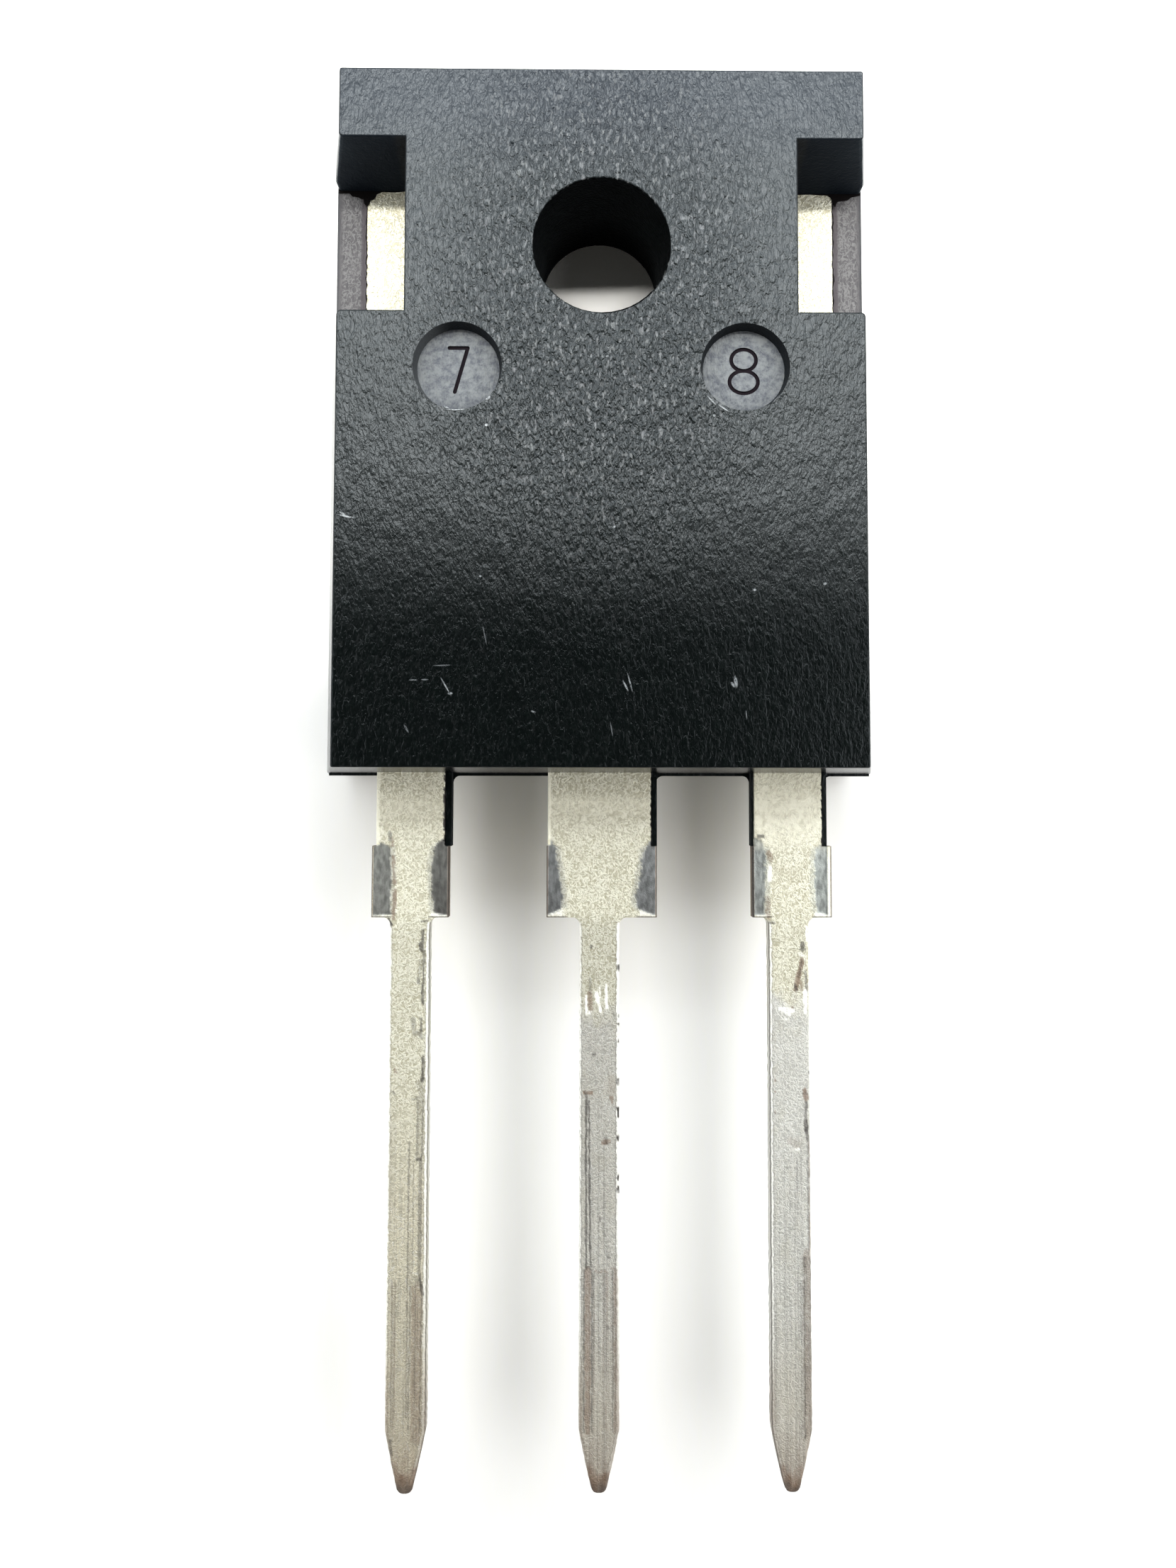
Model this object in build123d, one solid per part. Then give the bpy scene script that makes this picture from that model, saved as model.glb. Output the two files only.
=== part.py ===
"""Power transistor in a large three-lead moulded package with a screw hole.

The package lies on its back. +Z points away from the metal back, X runs across the package
and the leads point along -Y. The origin is on the back face, on the axis of the screw hole.
All sizes are in millimetres.
"""
from build123d import *
import math
import os

# ---- moulded body ----
BODY_WIDTH = 15.94           # across the parting line
BODY_THICKNESS = 5.02
HOLE_TO_TOP = 5.79           # hole axis to the top end, at the parting line
HOLE_TO_BOTTOM = 14.94       # hole axis to the lead end, at the parting line
PARTING_HEIGHT = 2.41        # back face to the parting line
BACK_DRAFT = 3.5             # degrees, all four walls behind the parting line
SIDE_DRAFT = 10.8            # degrees, the two long walls in front of the parting line
TOP_DRAFT = 14.4             # degrees, the top end
BOTTOM_DRAFT = 3.5           # degrees, the lead end
CORNER_RADIUS = 0.07
FRONT_EDGE_RADIUS = 0.05

# ---- screw hole ----
HOLE_RADIUS = 1.78
HOLE_FRONT_RADIUS = 1.945
HOLE_STRAIGHT_DEPTH = 2.6    # from the back; in front of it the hole opens to its front radius
BACK_RING_RADIUS = 3.595     # compound round the hole, seen on the back
RING_STEP_DEPTH = 0.6
TAB_HOLE_RADIUS = 3.1

# ---- side notches ----
NOTCH_INNER_X = 5.574        # hole axis to the inner wall, at the front face
NOTCH_HIGH_Y = 3.11
NOTCH_LOW_Y = -1.915
NOTCH_END_DRAFT = 8.0
NOTCH_INNER_DRAFT = 5.0
NOTCH_EDGE_RADIUS = 0.14

# ---- ejector recesses ----
RECESS_X = 4.06
RECESS_Y = -3.495
RECESS_RADIUS = 1.26
RECESS_FLOOR_RADIUS = 1.17
RECESS_DEPTH = 0.5
NUMERAL_HEIGHT = 1.38
NUMERAL_STROKE = 0.11
NUMERAL_DEPTH = 0.06

# ---- tab ----
TAB_WIDTH = 14.1
TAB_THICKNESS = 2.0
TAB_LENGTH = 16.55
TOP_TO_TAB = 1.19            # body's top end to the tab's top end
LOCK_GROOVE_WIDTH = 0.4
LOCK_GROOVE_DEPTH = 0.15
LOCK_GROOVE_Y = -5.6

# ---- leads ----
LEAD_PITCH = 5.44
LEAD_THICKNESS = 0.6
LEAD_LENGTH = 20.1           # beyond the body
LEAD_WIDTH = 1.15
SIDE_SHOULDER_WIDTH = 2.0
CENTRE_SHOULDER_WIDTH = 3.0
DAMBAR_START = 2.08          # body end to the first edge of the cut dam bar
SHOULDER_LENGTH = 4.12
SHOULDER_FILLET = 0.22
TIP_TAPER = 1.7
TIP_NECK = 0.85              # distance from the end where the taper steepens
TIP_NECK_HALF_WIDTH = 0.4
TIP_END_HALF_WIDTH = 0.2
TIP_END_RADIUS = 0.17
STEP_LENGTH = 1.15           # sloped part of the centre lead, between the tab and lead levels

# ---- mould flash left between the leads and the cut dam bar ----
FLASH_LEDGE = 0.06
FLASH_LEDGE_THICKNESS = 0.12
FLASH_FILLET = 0.2

# ---- bonding posts inside the compound ----
POST_WIDTH = 3.3
POST_LENGTH = 1.7
POST_TO_TAB = 0.35
POST_LOCK_RADIUS = 0.4

# ---- chips and solder ----
LOWER_DIE = (5.6, 3.7, 0.32)
LOWER_DIE_CENTRE = (0.3, -8.7)
UPPER_DIE = (2.3, 2.3, 0.2)
UPPER_DIE_CENTRE = (-0.95, -8.75)
SOLDER_THICKNESS = 0.06
SOLDER_MARGIN = 0.1

# ---- bond wires ----
THICK_WIRE = 0.38
THIN_WIRE = 0.15
WIRE_SINK = 0.2              # share of the wire's radius that the wedge bond flattens
WIRE_COUNT = 3
WIRE_SPACING = 0.55

LEAD_TOP = PARTING_HEIGHT + LEAD_THICKNESS
TAB_TOP_Y = HOLE_TO_TOP - TOP_TO_TAB
TAB_LOW_Y = TAB_TOP_Y - TAB_LENGTH
LOWER_DIE_TOP = TAB_THICKNESS + SOLDER_THICKNESS + LOWER_DIE[2]
UPPER_DIE_TOP = LOWER_DIE_TOP + SOLDER_THICKNESS + UPPER_DIE[2]

# Each lead: its centre, its shoulder's width, how far the cut dam bar stands out on the -X and
# +X sides, and the width of the flash strip left on each side.
LEADS = {
    "gate": (-LEAD_PITCH, SIDE_SHOULDER_WIDTH, 0.12, 0.1, 0.0, 0.17),
    "centre": (0.0, CENTRE_SHOULDER_WIDTH, 0.03, 0.15, 0.0, 0.15),
    "drain": (LEAD_PITCH, SIDE_SHOULDER_WIDTH, 0.03, 0.26, 0.06, 0.12),
}


def slope(height, degrees):
    """How far a wall of this height leans in at this draft."""
    return height * math.tan(math.radians(degrees))


def box(x0, x1, y0, y1, z0, z1):
    """A block between two corners."""
    block = Box(x1 - x0, y1 - y0, z1 - z0)
    return Pos((x0 + x1) / 2, (y0 + y1) / 2, (z0 + z1) / 2) * block


def rounded_outline(half_width, y_low, y_high, z):
    """A flat rounded rectangle, level at height z."""
    face = RectangleRounded(2 * half_width, y_high - y_low, CORNER_RADIUS)
    return Pos(0, (y_low + y_high) / 2, z) * face


def outer_form():
    """The body without hole, notches, recesses or inserts: two drafted blocks, back to back."""
    half = BODY_WIDTH / 2
    back = slope(PARTING_HEIGHT, BACK_DRAFT)
    front_height = BODY_THICKNESS - PARTING_HEIGHT
    parting = rounded_outline(half, -HOLE_TO_BOTTOM, HOLE_TO_TOP, PARTING_HEIGHT)
    rear = rounded_outline(half - back, -HOLE_TO_BOTTOM + back, HOLE_TO_TOP - back, 0)
    front = rounded_outline(
        half - slope(front_height, SIDE_DRAFT),
        -HOLE_TO_BOTTOM + slope(front_height, BOTTOM_DRAFT),
        HOLE_TO_TOP - slope(front_height, TOP_DRAFT),
        BODY_THICKNESS,
    )
    return loft([rear, parting]) + loft([parting, front])


def notch(side):
    """The cutter for one side notch: drafted walls, a flat floor level with the tab's front."""
    height = BODY_THICKNESS - TAB_THICKNESS
    end_lean = slope(height, NOTCH_END_DRAFT)
    inner_lean = slope(height, NOTCH_INNER_DRAFT)
    reach = BODY_WIDTH

    def outline(depth, z):
        low = NOTCH_LOW_Y + depth * end_lean
        high = NOTCH_HIGH_Y - depth * end_lean
        inner = NOTCH_INNER_X + depth * inner_lean
        face = Rectangle(reach - inner, high - low)
        return Pos(side * (reach + inner) / 2, (low + high) / 2, z) * face

    return loft([outline(1, TAB_THICKNESS), outline(0, BODY_THICKNESS)])


def notch_side_edges(solid):
    """The upright edges where the notches' end walls meet the body's long sides."""
    picked = []
    for edge in solid.edges():
        centre = edge.center()
        upright = abs(edge.tangent_at(0.5).Z) > 0.8
        outside = abs(centre.X) > BODY_WIDTH / 2 - 0.7
        in_notch = NOTCH_LOW_Y - 0.1 < centre.Y < NOTCH_HIGH_Y + 0.1
        if upright and outside and in_notch and centre.Z > TAB_THICKNESS:
            picked.append(edge)
    return picked


def front_edges(solid):
    """The edges of the front face."""
    return [e for e in solid.edges() if abs(e.bounding_box().min.Z - BODY_THICKNESS) < 1e-4]


def screw_hole():
    """Straight at the back, opening slightly towards the front."""
    straight = Pos(0, 0, HOLE_STRAIGHT_DEPTH / 2) * Cylinder(HOLE_RADIUS, HOLE_STRAIGHT_DEPTH)
    taper_length = BODY_THICKNESS - HOLE_STRAIGHT_DEPTH
    taper = Pos(0, 0, HOLE_STRAIGHT_DEPTH + taper_length / 2)
    return straight + taper * Cone(HOLE_RADIUS, HOLE_FRONT_RADIUS, taper_length)


def stroke(start, end):
    """One straight stroke of a numeral, with round ends."""
    middle = ((start[0] + end[0]) / 2, (start[1] + end[1]) / 2)
    turn = math.degrees(math.atan2(end[1] - start[1], end[0] - start[0]))
    return Pos(*middle) * Rot(0, 0, turn) * SlotCenterToCenter(math.dist(start, end), NUMERAL_STROKE)


def numeral_seven():
    """A plain 7, flat, centred on the origin."""
    reach = (NUMERAL_HEIGHT - NUMERAL_STROKE) / 2
    corner = (0.26, reach)
    return stroke((-0.26, reach), corner) + stroke(corner, (-0.1, -reach))


def numeral_eight():
    """A plain 8, two oval rings one on the other, centred on the origin."""
    low_height = 0.38
    high_height = (NUMERAL_HEIGHT + NUMERAL_STROKE) / 2 - low_height
    rings = (
        (Pos(0, low_height - NUMERAL_HEIGHT / 2), 0.46, low_height),
        (Pos(0, NUMERAL_HEIGHT / 2 - high_height), 0.41, high_height),
    )
    mark = Sketch() + [place * Ellipse(wide, high) for place, wide, high in rings]
    for place, wide, high in rings:
        mark -= place * Ellipse(wide - NUMERAL_STROKE, high - NUMERAL_STROKE)
    return mark


def ejector_recess(side, numeral):
    """The cutter for one round recess, with its numeral sunk into the floor."""
    middle = Pos(side * RECESS_X, RECESS_Y, BODY_THICKNESS - RECESS_DEPTH / 2)
    bowl = middle * Cone(RECESS_FLOOR_RADIUS, RECESS_RADIUS, RECESS_DEPTH)
    floor = BODY_THICKNESS - RECESS_DEPTH
    mark = extrude(Pos(side * RECESS_X, RECESS_Y, floor - NUMERAL_DEPTH) * numeral, 2 * NUMERAL_DEPTH)
    return bowl + mark


def lead_blade(name):
    """The flat part of a lead outside the body: shoulder, cut dam bar, pin and tapered tip."""
    centre, shoulder, bar_left, bar_right = LEADS[name][:4]
    half = shoulder / 2
    pin = LEAD_WIDTH / 2
    start = -HOLE_TO_BOTTOM
    bar = start - DAMBAR_START
    foot = start - SHOULDER_LENGTH
    end = start - LEAD_LENGTH
    side = [
        (pin, end + TIP_TAPER),
        (TIP_NECK_HALF_WIDTH, end + TIP_NECK),
        (TIP_END_HALF_WIDTH, end),
    ]
    points = [(-half, start), (-half, bar), (-half - bar_left, bar), (-half - bar_left, foot)]
    points += [(-pin, foot)]
    points += [(-x, y) for x, y in side]
    points += list(reversed(side))
    points += [(pin, foot), (half + bar_right, foot), (half + bar_right, bar), (half, bar), (half, start)]
    plan = make_face(Polyline(*points, close=True))
    inner = [v for v in plan.vertices() if abs(abs(v.X) - pin) < 1e-6 and abs(v.Y - foot) < 1e-6]
    plan = fillet(inner, SHOULDER_FILLET)
    ends = [v for v in plan.vertices() if abs(v.Y - end) < 1e-6]
    plan = fillet(ends, TIP_END_RADIUS)
    return extrude(Pos(centre, 0, PARTING_HEIGHT) * plan, LEAD_THICKNESS)


def side_lead(name):
    """A side lead with the bonding post that the compound holds."""
    centre = LEADS[name][0]
    half = SIDE_SHOULDER_WIDTH / 2
    outward = math.copysign(1, centre)
    post_high = TAB_LOW_Y - POST_TO_TAB
    post_low = post_high - POST_LENGTH
    neck = box(centre - half, centre + half, -HOLE_TO_BOTTOM, post_low, PARTING_HEIGHT, LEAD_TOP)
    outer_x = centre + outward * (half + 0.45)
    inner_x = outer_x - outward * POST_WIDTH
    low_x, high_x = sorted((outer_x, inner_x))
    post = box(low_x, high_x, post_low, post_high, PARTING_HEIGHT, LEAD_TOP)
    post = fillet(post.edges().filter_by(Axis.Z), 0.3)
    lock = Pos(centre, -HOLE_TO_BOTTOM + 0.75, PARTING_HEIGHT) * Cylinder(POST_LOCK_RADIUS, 4 * LEAD_THICKNESS)
    return lead_blade(name) + neck + post - lock


def heat_tab():
    """The thick tab, with its stepped hole and lock groove, and the centre lead formed up from it."""
    half = TAB_WIDTH / 2
    tab = box(-half, half, TAB_LOW_Y, TAB_TOP_Y, 0, TAB_THICKNESS)
    tab = fillet(tab.edges().filter_by(Axis.Z), 0.3)
    tab -= Pos(0, 0, TAB_THICKNESS / 2) * Cylinder(TAB_HOLE_RADIUS, TAB_THICKNESS)
    tab -= Pos(0, 0, RING_STEP_DEPTH / 2) * Cylinder(BACK_RING_RADIUS, RING_STEP_DEPTH)
    groove_low = LOCK_GROOVE_Y - LOCK_GROOVE_WIDTH / 2
    groove_depth = TAB_THICKNESS - LOCK_GROOVE_DEPTH
    tab -= box(-half, half, groove_low, groove_low + LOCK_GROOVE_WIDTH, groove_depth, TAB_THICKNESS)
    under = TAB_THICKNESS - LEAD_THICKNESS
    foot = TAB_LOW_Y - STEP_LENGTH
    section = Polyline(
        (0, TAB_LOW_Y, under),
        (0, TAB_LOW_Y, TAB_THICKNESS),
        (0, foot, LEAD_TOP),
        (0, -HOLE_TO_BOTTOM, LEAD_TOP),
        (0, -HOLE_TO_BOTTOM, PARTING_HEIGHT),
        (0, foot, PARTING_HEIGHT),
        close=True,
    )
    half_strip = CENTRE_SHOULDER_WIDTH / 2
    strip = extrude(make_face(section), half_strip, dir=(1, 0, 0), both=True)
    return tab + strip + lead_blade("centre")


def flash():
    """Compound left beside the leads down to the cut dam bar, and the thin ledge under the body."""
    start = -HOLE_TO_BOTTOM
    bar = start - DAMBAR_START
    half_body = BODY_WIDTH / 2 - CORNER_RADIUS
    ledge_top = PARTING_HEIGHT + FLASH_LEDGE_THICKNESS
    overlap = 0.1
    pieces = [box(-half_body, half_body, start - FLASH_LEDGE, start + overlap, PARTING_HEIGHT, ledge_top)]
    for centre, shoulder, _, _, left, right in LEADS.values():
        for side, width in ((-1, left), (1, right)):
            if width > 0:
                inner = centre + side * shoulder / 2
                low_x, high_x = sorted((inner, inner + side * width))
                strip = box(low_x, high_x, bar, start + overlap, PARTING_HEIGHT, LEAD_TOP)
                pieces.append(strip)
                pieces.append(flash_corner(inner + side * width, side))
    return pieces


def flash_corner(x, side):
    """The rounded inner corner where a flash strip runs into the ledge."""
    y = -HOLE_TO_BOTTOM - FLASH_LEDGE
    r = FLASH_FILLET
    outline = make_face(
        Line((x, y), (x + side * r, y))
        + RadiusArc((x + side * r, y), (x, y - r), -side * r)
        + Line((x, y - r), (x, y))
    )
    return extrude(Pos(0, 0, PARTING_HEIGHT) * outline, FLASH_LEDGE_THICKNESS)


def die(size, centre, base):
    """A chip lying flat on the level `base`."""
    return Pos(centre[0], centre[1], base + size[2] / 2) * Box(*size)


def solder(size, centre, base):
    """The solder layer under a chip, standing out a little all round."""
    layer = (size[0] + 2 * SOLDER_MARGIN, size[1] + 2 * SOLDER_MARGIN, SOLDER_THICKNESS)
    return die(layer, centre, base)


def bond_wire(start, end, loop, diameter, foot):
    """A bond wire between two level pads: flat foot, arch, flat foot, in one upright plane.

    start and end are the outer ends of the two feet, at the pads' level, and loop is the height of
    the arch above the higher pad.
    """
    radius = diameter / 2
    lift = radius * (1 - WIRE_SINK)
    a = Vector(*start) + Vector(0, 0, lift)
    b = Vector(*end) + Vector(0, 0, lift)
    level = Vector(b.X - a.X, b.Y - a.Y, 0)
    span = level.length
    along = level.normalized()
    peak = max(a.Z, b.Z) + loop
    points = [a, a + along * foot, a + along * (foot + 0.22 * span)]
    points += [b - along * (foot + 0.22 * span), b - along * foot, b]
    points[2] = Vector(points[2].X, points[2].Y, peak)
    points[3] = Vector(points[3].X, points[3].Y, peak)
    path = FilletPolyline(*points, radius=1.1 * diameter)
    return sweep(Plane(origin=path @ 0, z_dir=path % 0) * Circle(radius), path=path)


def wires():
    """All bond wires by name, before their feet are cut flat."""
    made = {}
    post_y = TAB_LOW_Y - POST_TO_TAB - 0.35
    right_die = LOWER_DIE_CENTRE[0] + LOWER_DIE[0] / 2
    for i in range(WIRE_COUNT):
        shift = i * WIRE_SPACING
        start = (LEAD_PITCH - 0.75 + 1.35 * shift, post_y - 0.9, LEAD_TOP)
        end = (right_die - 1.5 + 0.6 * shift, LOWER_DIE_CENTRE[1] + 0.2 + shift, LOWER_DIE_TOP)
        made[f"drain_wire_{i + 1}"] = bond_wire(start, end, 0.55, THICK_WIRE, 0.75)
    for i in range(WIRE_COUNT):
        y = UPPER_DIE_CENTRE[1] - 0.2 + i * WIRE_SPACING
        start = (UPPER_DIE_CENTRE[0] + 0.15, y, UPPER_DIE_TOP)
        end = (-5.2, y + 0.8, TAB_THICKNESS)
        made[f"source_wire_{i + 1}"] = bond_wire(start, end, 0.6, THICK_WIRE, 0.7)
    gate_start = (-LEAD_PITCH + 0.6, post_y - 0.5, LEAD_TOP)
    gate_end = (UPPER_DIE_CENTRE[0] - 0.45, UPPER_DIE_CENTRE[1] - 0.85, UPPER_DIE_TOP)
    made["gate_wire"] = bond_wire(gate_start, gate_end, 0.4, THIN_WIRE, 0.35)
    for i in range(2):
        x = LOWER_DIE_CENTRE[0] + 0.4 + i * 0.8
        start = (x, LOWER_DIE_CENTRE[1] + LOWER_DIE[1] / 2 - 0.5, LOWER_DIE_TOP)
        end = (x, LOWER_DIE_CENTRE[1] + LOWER_DIE[1] / 2 + 1.1, TAB_THICKNESS)
        made[f"lower_gate_wire_{i + 1}"] = bond_wire(start, end, 0.35, THIN_WIRE, 0.25)
    return made


def inserts():
    """Everything that the compound is moulded round, by name."""
    lower_solder_z = TAB_THICKNESS
    upper_solder_z = LOWER_DIE_TOP
    made = {
        "heat_tab": heat_tab(),
        "gate_lead": side_lead("gate"),
        "drain_lead": side_lead("drain"),
        "lower_die_solder": solder(LOWER_DIE, LOWER_DIE_CENTRE, lower_solder_z),
        "lower_die": die(LOWER_DIE, LOWER_DIE_CENTRE, lower_solder_z + SOLDER_THICKNESS),
        "upper_die_solder": solder(UPPER_DIE, UPPER_DIE_CENTRE, upper_solder_z),
        "upper_die": die(UPPER_DIE, UPPER_DIE_CENTRE, upper_solder_z + SOLDER_THICKNESS),
    }
    pads = [made[name] for name in ("heat_tab", "gate_lead", "drain_lead", "lower_die", "upper_die")]
    for name, wire in wires().items():
        for pad in pads:
            wire = wire - pad
        made[name] = wire
    return made


def mould_body(inside):
    """The moulded compound, with room for everything that it holds."""
    body = outer_form()
    for side in (-1, 1):
        body -= notch(side)
    body = fillet(notch_side_edges(body), NOTCH_EDGE_RADIUS)
    body -= screw_hole()
    body = fillet(front_edges(body), FRONT_EDGE_RADIUS)
    body -= ejector_recess(-1, numeral_seven())
    body -= ejector_recess(1, numeral_eight())
    for piece in flash():
        body += piece
    for piece in inside.values():
        body -= piece
    return body


parts = inserts()
parts["mould_body"] = mould_body(parts)

os.makedirs("parts", exist_ok=True)
for name, shape in parts.items():
    export_step(shape, f"parts/{name}.step")
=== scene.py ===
"""Looks of the power transistor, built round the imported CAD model.

Sizes and places below are in millimetres, in the CAD model's own frame: the back lies on z = 0,
the screw hole's axis is x = y = 0 and the leads point along -Y.
"""

import math

import bmesh
import bpy
import numpy as np
from mathutils import Euler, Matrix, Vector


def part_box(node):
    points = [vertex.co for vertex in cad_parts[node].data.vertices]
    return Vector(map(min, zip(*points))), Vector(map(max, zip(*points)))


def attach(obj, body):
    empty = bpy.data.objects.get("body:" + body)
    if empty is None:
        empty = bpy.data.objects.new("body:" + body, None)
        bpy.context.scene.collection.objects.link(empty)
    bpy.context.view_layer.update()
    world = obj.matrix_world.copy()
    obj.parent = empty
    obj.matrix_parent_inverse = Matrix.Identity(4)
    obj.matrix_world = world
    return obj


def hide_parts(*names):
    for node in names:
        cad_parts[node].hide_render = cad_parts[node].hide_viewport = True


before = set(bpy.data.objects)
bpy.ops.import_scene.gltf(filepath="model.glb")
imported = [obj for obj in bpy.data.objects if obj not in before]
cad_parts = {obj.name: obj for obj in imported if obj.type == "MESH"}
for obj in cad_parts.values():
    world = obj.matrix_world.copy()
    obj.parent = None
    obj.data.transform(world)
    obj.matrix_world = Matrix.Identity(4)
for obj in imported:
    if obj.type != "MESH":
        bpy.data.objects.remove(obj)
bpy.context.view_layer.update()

MM = 0.001
BODY_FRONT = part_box("mould_body")[1].z / MM
LEAD_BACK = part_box("gate_lead")[0].z / MM
LEAD_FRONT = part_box("gate_lead")[1].z / MM
LEAD_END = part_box("gate_lead")[0].y / MM
LEAD_LENGTH = 20.1               # beyond the body
BODY_END = LEAD_END + LEAD_LENGTH

# ---- places that the marks and finishes need ----
LEAD_PITCH = 5.44
DAMBAR_TOP = BODY_END - 2.08     # the cut dam bar widens each lead from here
DAMBAR_FOOT = BODY_END - 4.12    # to here
TAB_TOP = 2.0
TAB_SIDE = 7.05                  # half the tab's width
HOLE_REACH = 2.0                 # just over the screw hole's largest radius
RECESS_X = 4.06
RECESS_Y = -3.495
RECESS_FLOOR = BODY_FRONT - 0.5


# ---------------------------------------------------------------------------
# Node graphs
# ---------------------------------------------------------------------------
class Graph:
    """Builds one material's nodes with short calls."""

    def __init__(self, name, tree=None):
        self.material = None
        self.shader = None
        if tree is None:
            self.material = bpy.data.materials.new(name)
            self.material.use_nodes = True
            tree = self.material.node_tree
        self.tree = tree
        self.tree.nodes.clear()

    def feed(self, socket, value):
        if isinstance(value, bpy.types.NodeSocket):
            self.tree.links.new(value, socket)
        elif value is not None:
            socket.default_value = value

    def node(self, kind, settings=None, **inputs):
        made = self.tree.nodes.new(kind)
        for key, value in (settings or {}).items():
            setattr(made, key, value)
        for key, value in inputs.items():
            self.feed(made.inputs[key.replace("_", " ")], value)
        return made

    def math(self, operation, a, b=None, clamp=False):
        made = self.node("ShaderNodeMath", {"operation": operation, "use_clamp": clamp})
        self.feed(made.inputs[0], a)
        self.feed(made.inputs[1], b)
        return made.outputs[0]

    def vector(self, operation, vector, **inputs):
        return self.node("ShaderNodeVectorMath", {"operation": operation}, Vector=vector, **inputs)

    def add(self, a, b):
        return self.math("ADD", a, b)

    def take(self, a, b):
        return self.math("SUBTRACT", a, b)

    def times(self, a, b):
        return self.math("MULTIPLY", a, b)

    def max(self, a, b):
        return self.math("MAXIMUM", a, b)

    def both(self, *masks):
        """The product of several masks."""
        product = masks[0]
        for mask in masks[1:]:
            product = self.times(product, mask)
        return product

    def ramp(self, value, low, high, out_low=0.0, out_high=1.0):
        """Goes smoothly from out_low to out_high as value goes from low to high."""
        made = self.node("ShaderNodeMapRange", {"interpolation_type": "SMOOTHSTEP"})
        self.feed(made.inputs[0], value)
        for index, number in ((1, low), (2, high), (3, out_low), (4, out_high)):
            self.feed(made.inputs[index], number)
        return made.outputs[0]

    def near(self, value, target, width):
        """1 where value is within width of target, 0 a little further out."""
        distance = self.math("ABSOLUTE", self.take(value, target))
        return self.ramp(distance, width * 1.3, width * 0.7)

    def place(self):
        """The point's place in millimetres, as a vector and as its three parts."""
        where = self.node("ShaderNodeTexCoord").outputs["Object"]
        scaled = self.vector("SCALE", where, Scale=1 / MM)
        parts = self.node("ShaderNodeSeparateXYZ", Vector=scaled.outputs[0])
        return scaled.outputs[0], parts.outputs[0], parts.outputs[1], parts.outputs[2]

    def stretch(self, vector, sizes):
        """The place divided by a grain's size along each axis."""
        made = self.vector("MULTIPLY", vector)
        self.feed(made.inputs[1], tuple(1 / size for size in sizes))
        return made.outputs[0]

    def noise(self, place, sizes, detail=2.0, rough=0.5, warp=0.0):
        """Noise whose grains have the given sizes along each axis, in millimetres."""
        stretched = self.stretch(place, sizes)
        made = self.node("ShaderNodeTexNoise", Vector=stretched, Scale=1.0, Detail=detail)
        made.inputs["Roughness"].default_value = rough
        made.inputs["Distortion"].default_value = warp
        return made.outputs[0]

    def worms(self, place, sizes, warp, width):
        """Thin winding ridges, 1 on the ridge."""
        value = self.noise(place, sizes, detail=1.0, warp=warp)
        distance = self.math("ABSOLUTE", self.take(value, 0.5))
        return self.ramp(distance, width, 0.0)

    def flecks(self, place, marks):
        """Small scars: the strength of the nearest (x, y, length, width, turn, strength), in mm."""
        strongest = None
        for x, y, length, width, turn, strength in marks:
            local = self.node("ShaderNodeMapping", {"vector_type": "TEXTURE"}, Vector=place)
            local.inputs["Location"].default_value = (x, y, 0.0)
            local.inputs["Rotation"].default_value = (0.0, 0.0, math.radians(turn))
            local.inputs["Scale"].default_value = (length / 2, width / 2, 1000.0)
            reach = self.vector("LENGTH", local.outputs[0])
            mask = self.ramp(reach.outputs[1], 1.35, 0.55, 0.0, strength)
            strongest = mask if strongest is None else self.max(strongest, mask)
        return strongest

    def mix(self, factor, a, b):
        made = self.tree.nodes.new("ShaderNodeMix")
        made.data_type = "RGBA"
        self.feed(made.inputs[0], factor)
        self.feed(made.inputs[6], a)
        self.feed(made.inputs[7], b)
        return made.outputs[2]

    def coats(self, colour, *coats):
        """Lays colours over one another, each as strongly as its mask says."""
        for mask, tint in coats:
            colour = self.mix(mask, colour, tint)
        return colour

    def blend(self, factor, a, b):
        """Mixes two numbers."""
        made = self.tree.nodes.new("ShaderNodeMix")
        self.feed(made.inputs[0], factor)
        self.feed(made.inputs[2], a)
        self.feed(made.inputs[3], b)
        return made.outputs[0]

    def bump(self, height, depth):
        """depth is in millimetres for a height of 1."""
        made = self.node("ShaderNodeBump", Height=height, Strength=1.0, Distance=depth * MM)
        return made.outputs[0]

    def distance(self, x, y):
        """How far the place (x, y) is from the origin."""
        flat = self.node("ShaderNodeCombineXYZ", X=x, Y=y)
        return self.vector("LENGTH", flat.outputs[0]).outputs[1]

    def output(self, shader, kind="Material"):
        made = self.tree.nodes.new(f"ShaderNodeOutput{kind}")
        self.tree.links.new(shader.outputs[0], made.inputs[0])
        return self.material

    def surface(self, colour, roughness, metallic=0.0, normal=None, level=0.5):
        shader = self.shader = self.tree.nodes.new("ShaderNodeBsdfPrincipled")
        self.feed(shader.inputs["Base Color"], colour)
        self.feed(shader.inputs["Roughness"], roughness)
        self.feed(shader.inputs["Metallic"], metallic)
        if normal is not None:
            self.feed(shader.inputs["Normal"], normal)
        shader.inputs["Specular IOR Level"].default_value = level
        shader.inputs["IOR"].default_value = 1.5
        return self.output(shader)


def rgb(red, green, blue):
    return (red, green, blue, 1.0)


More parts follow.
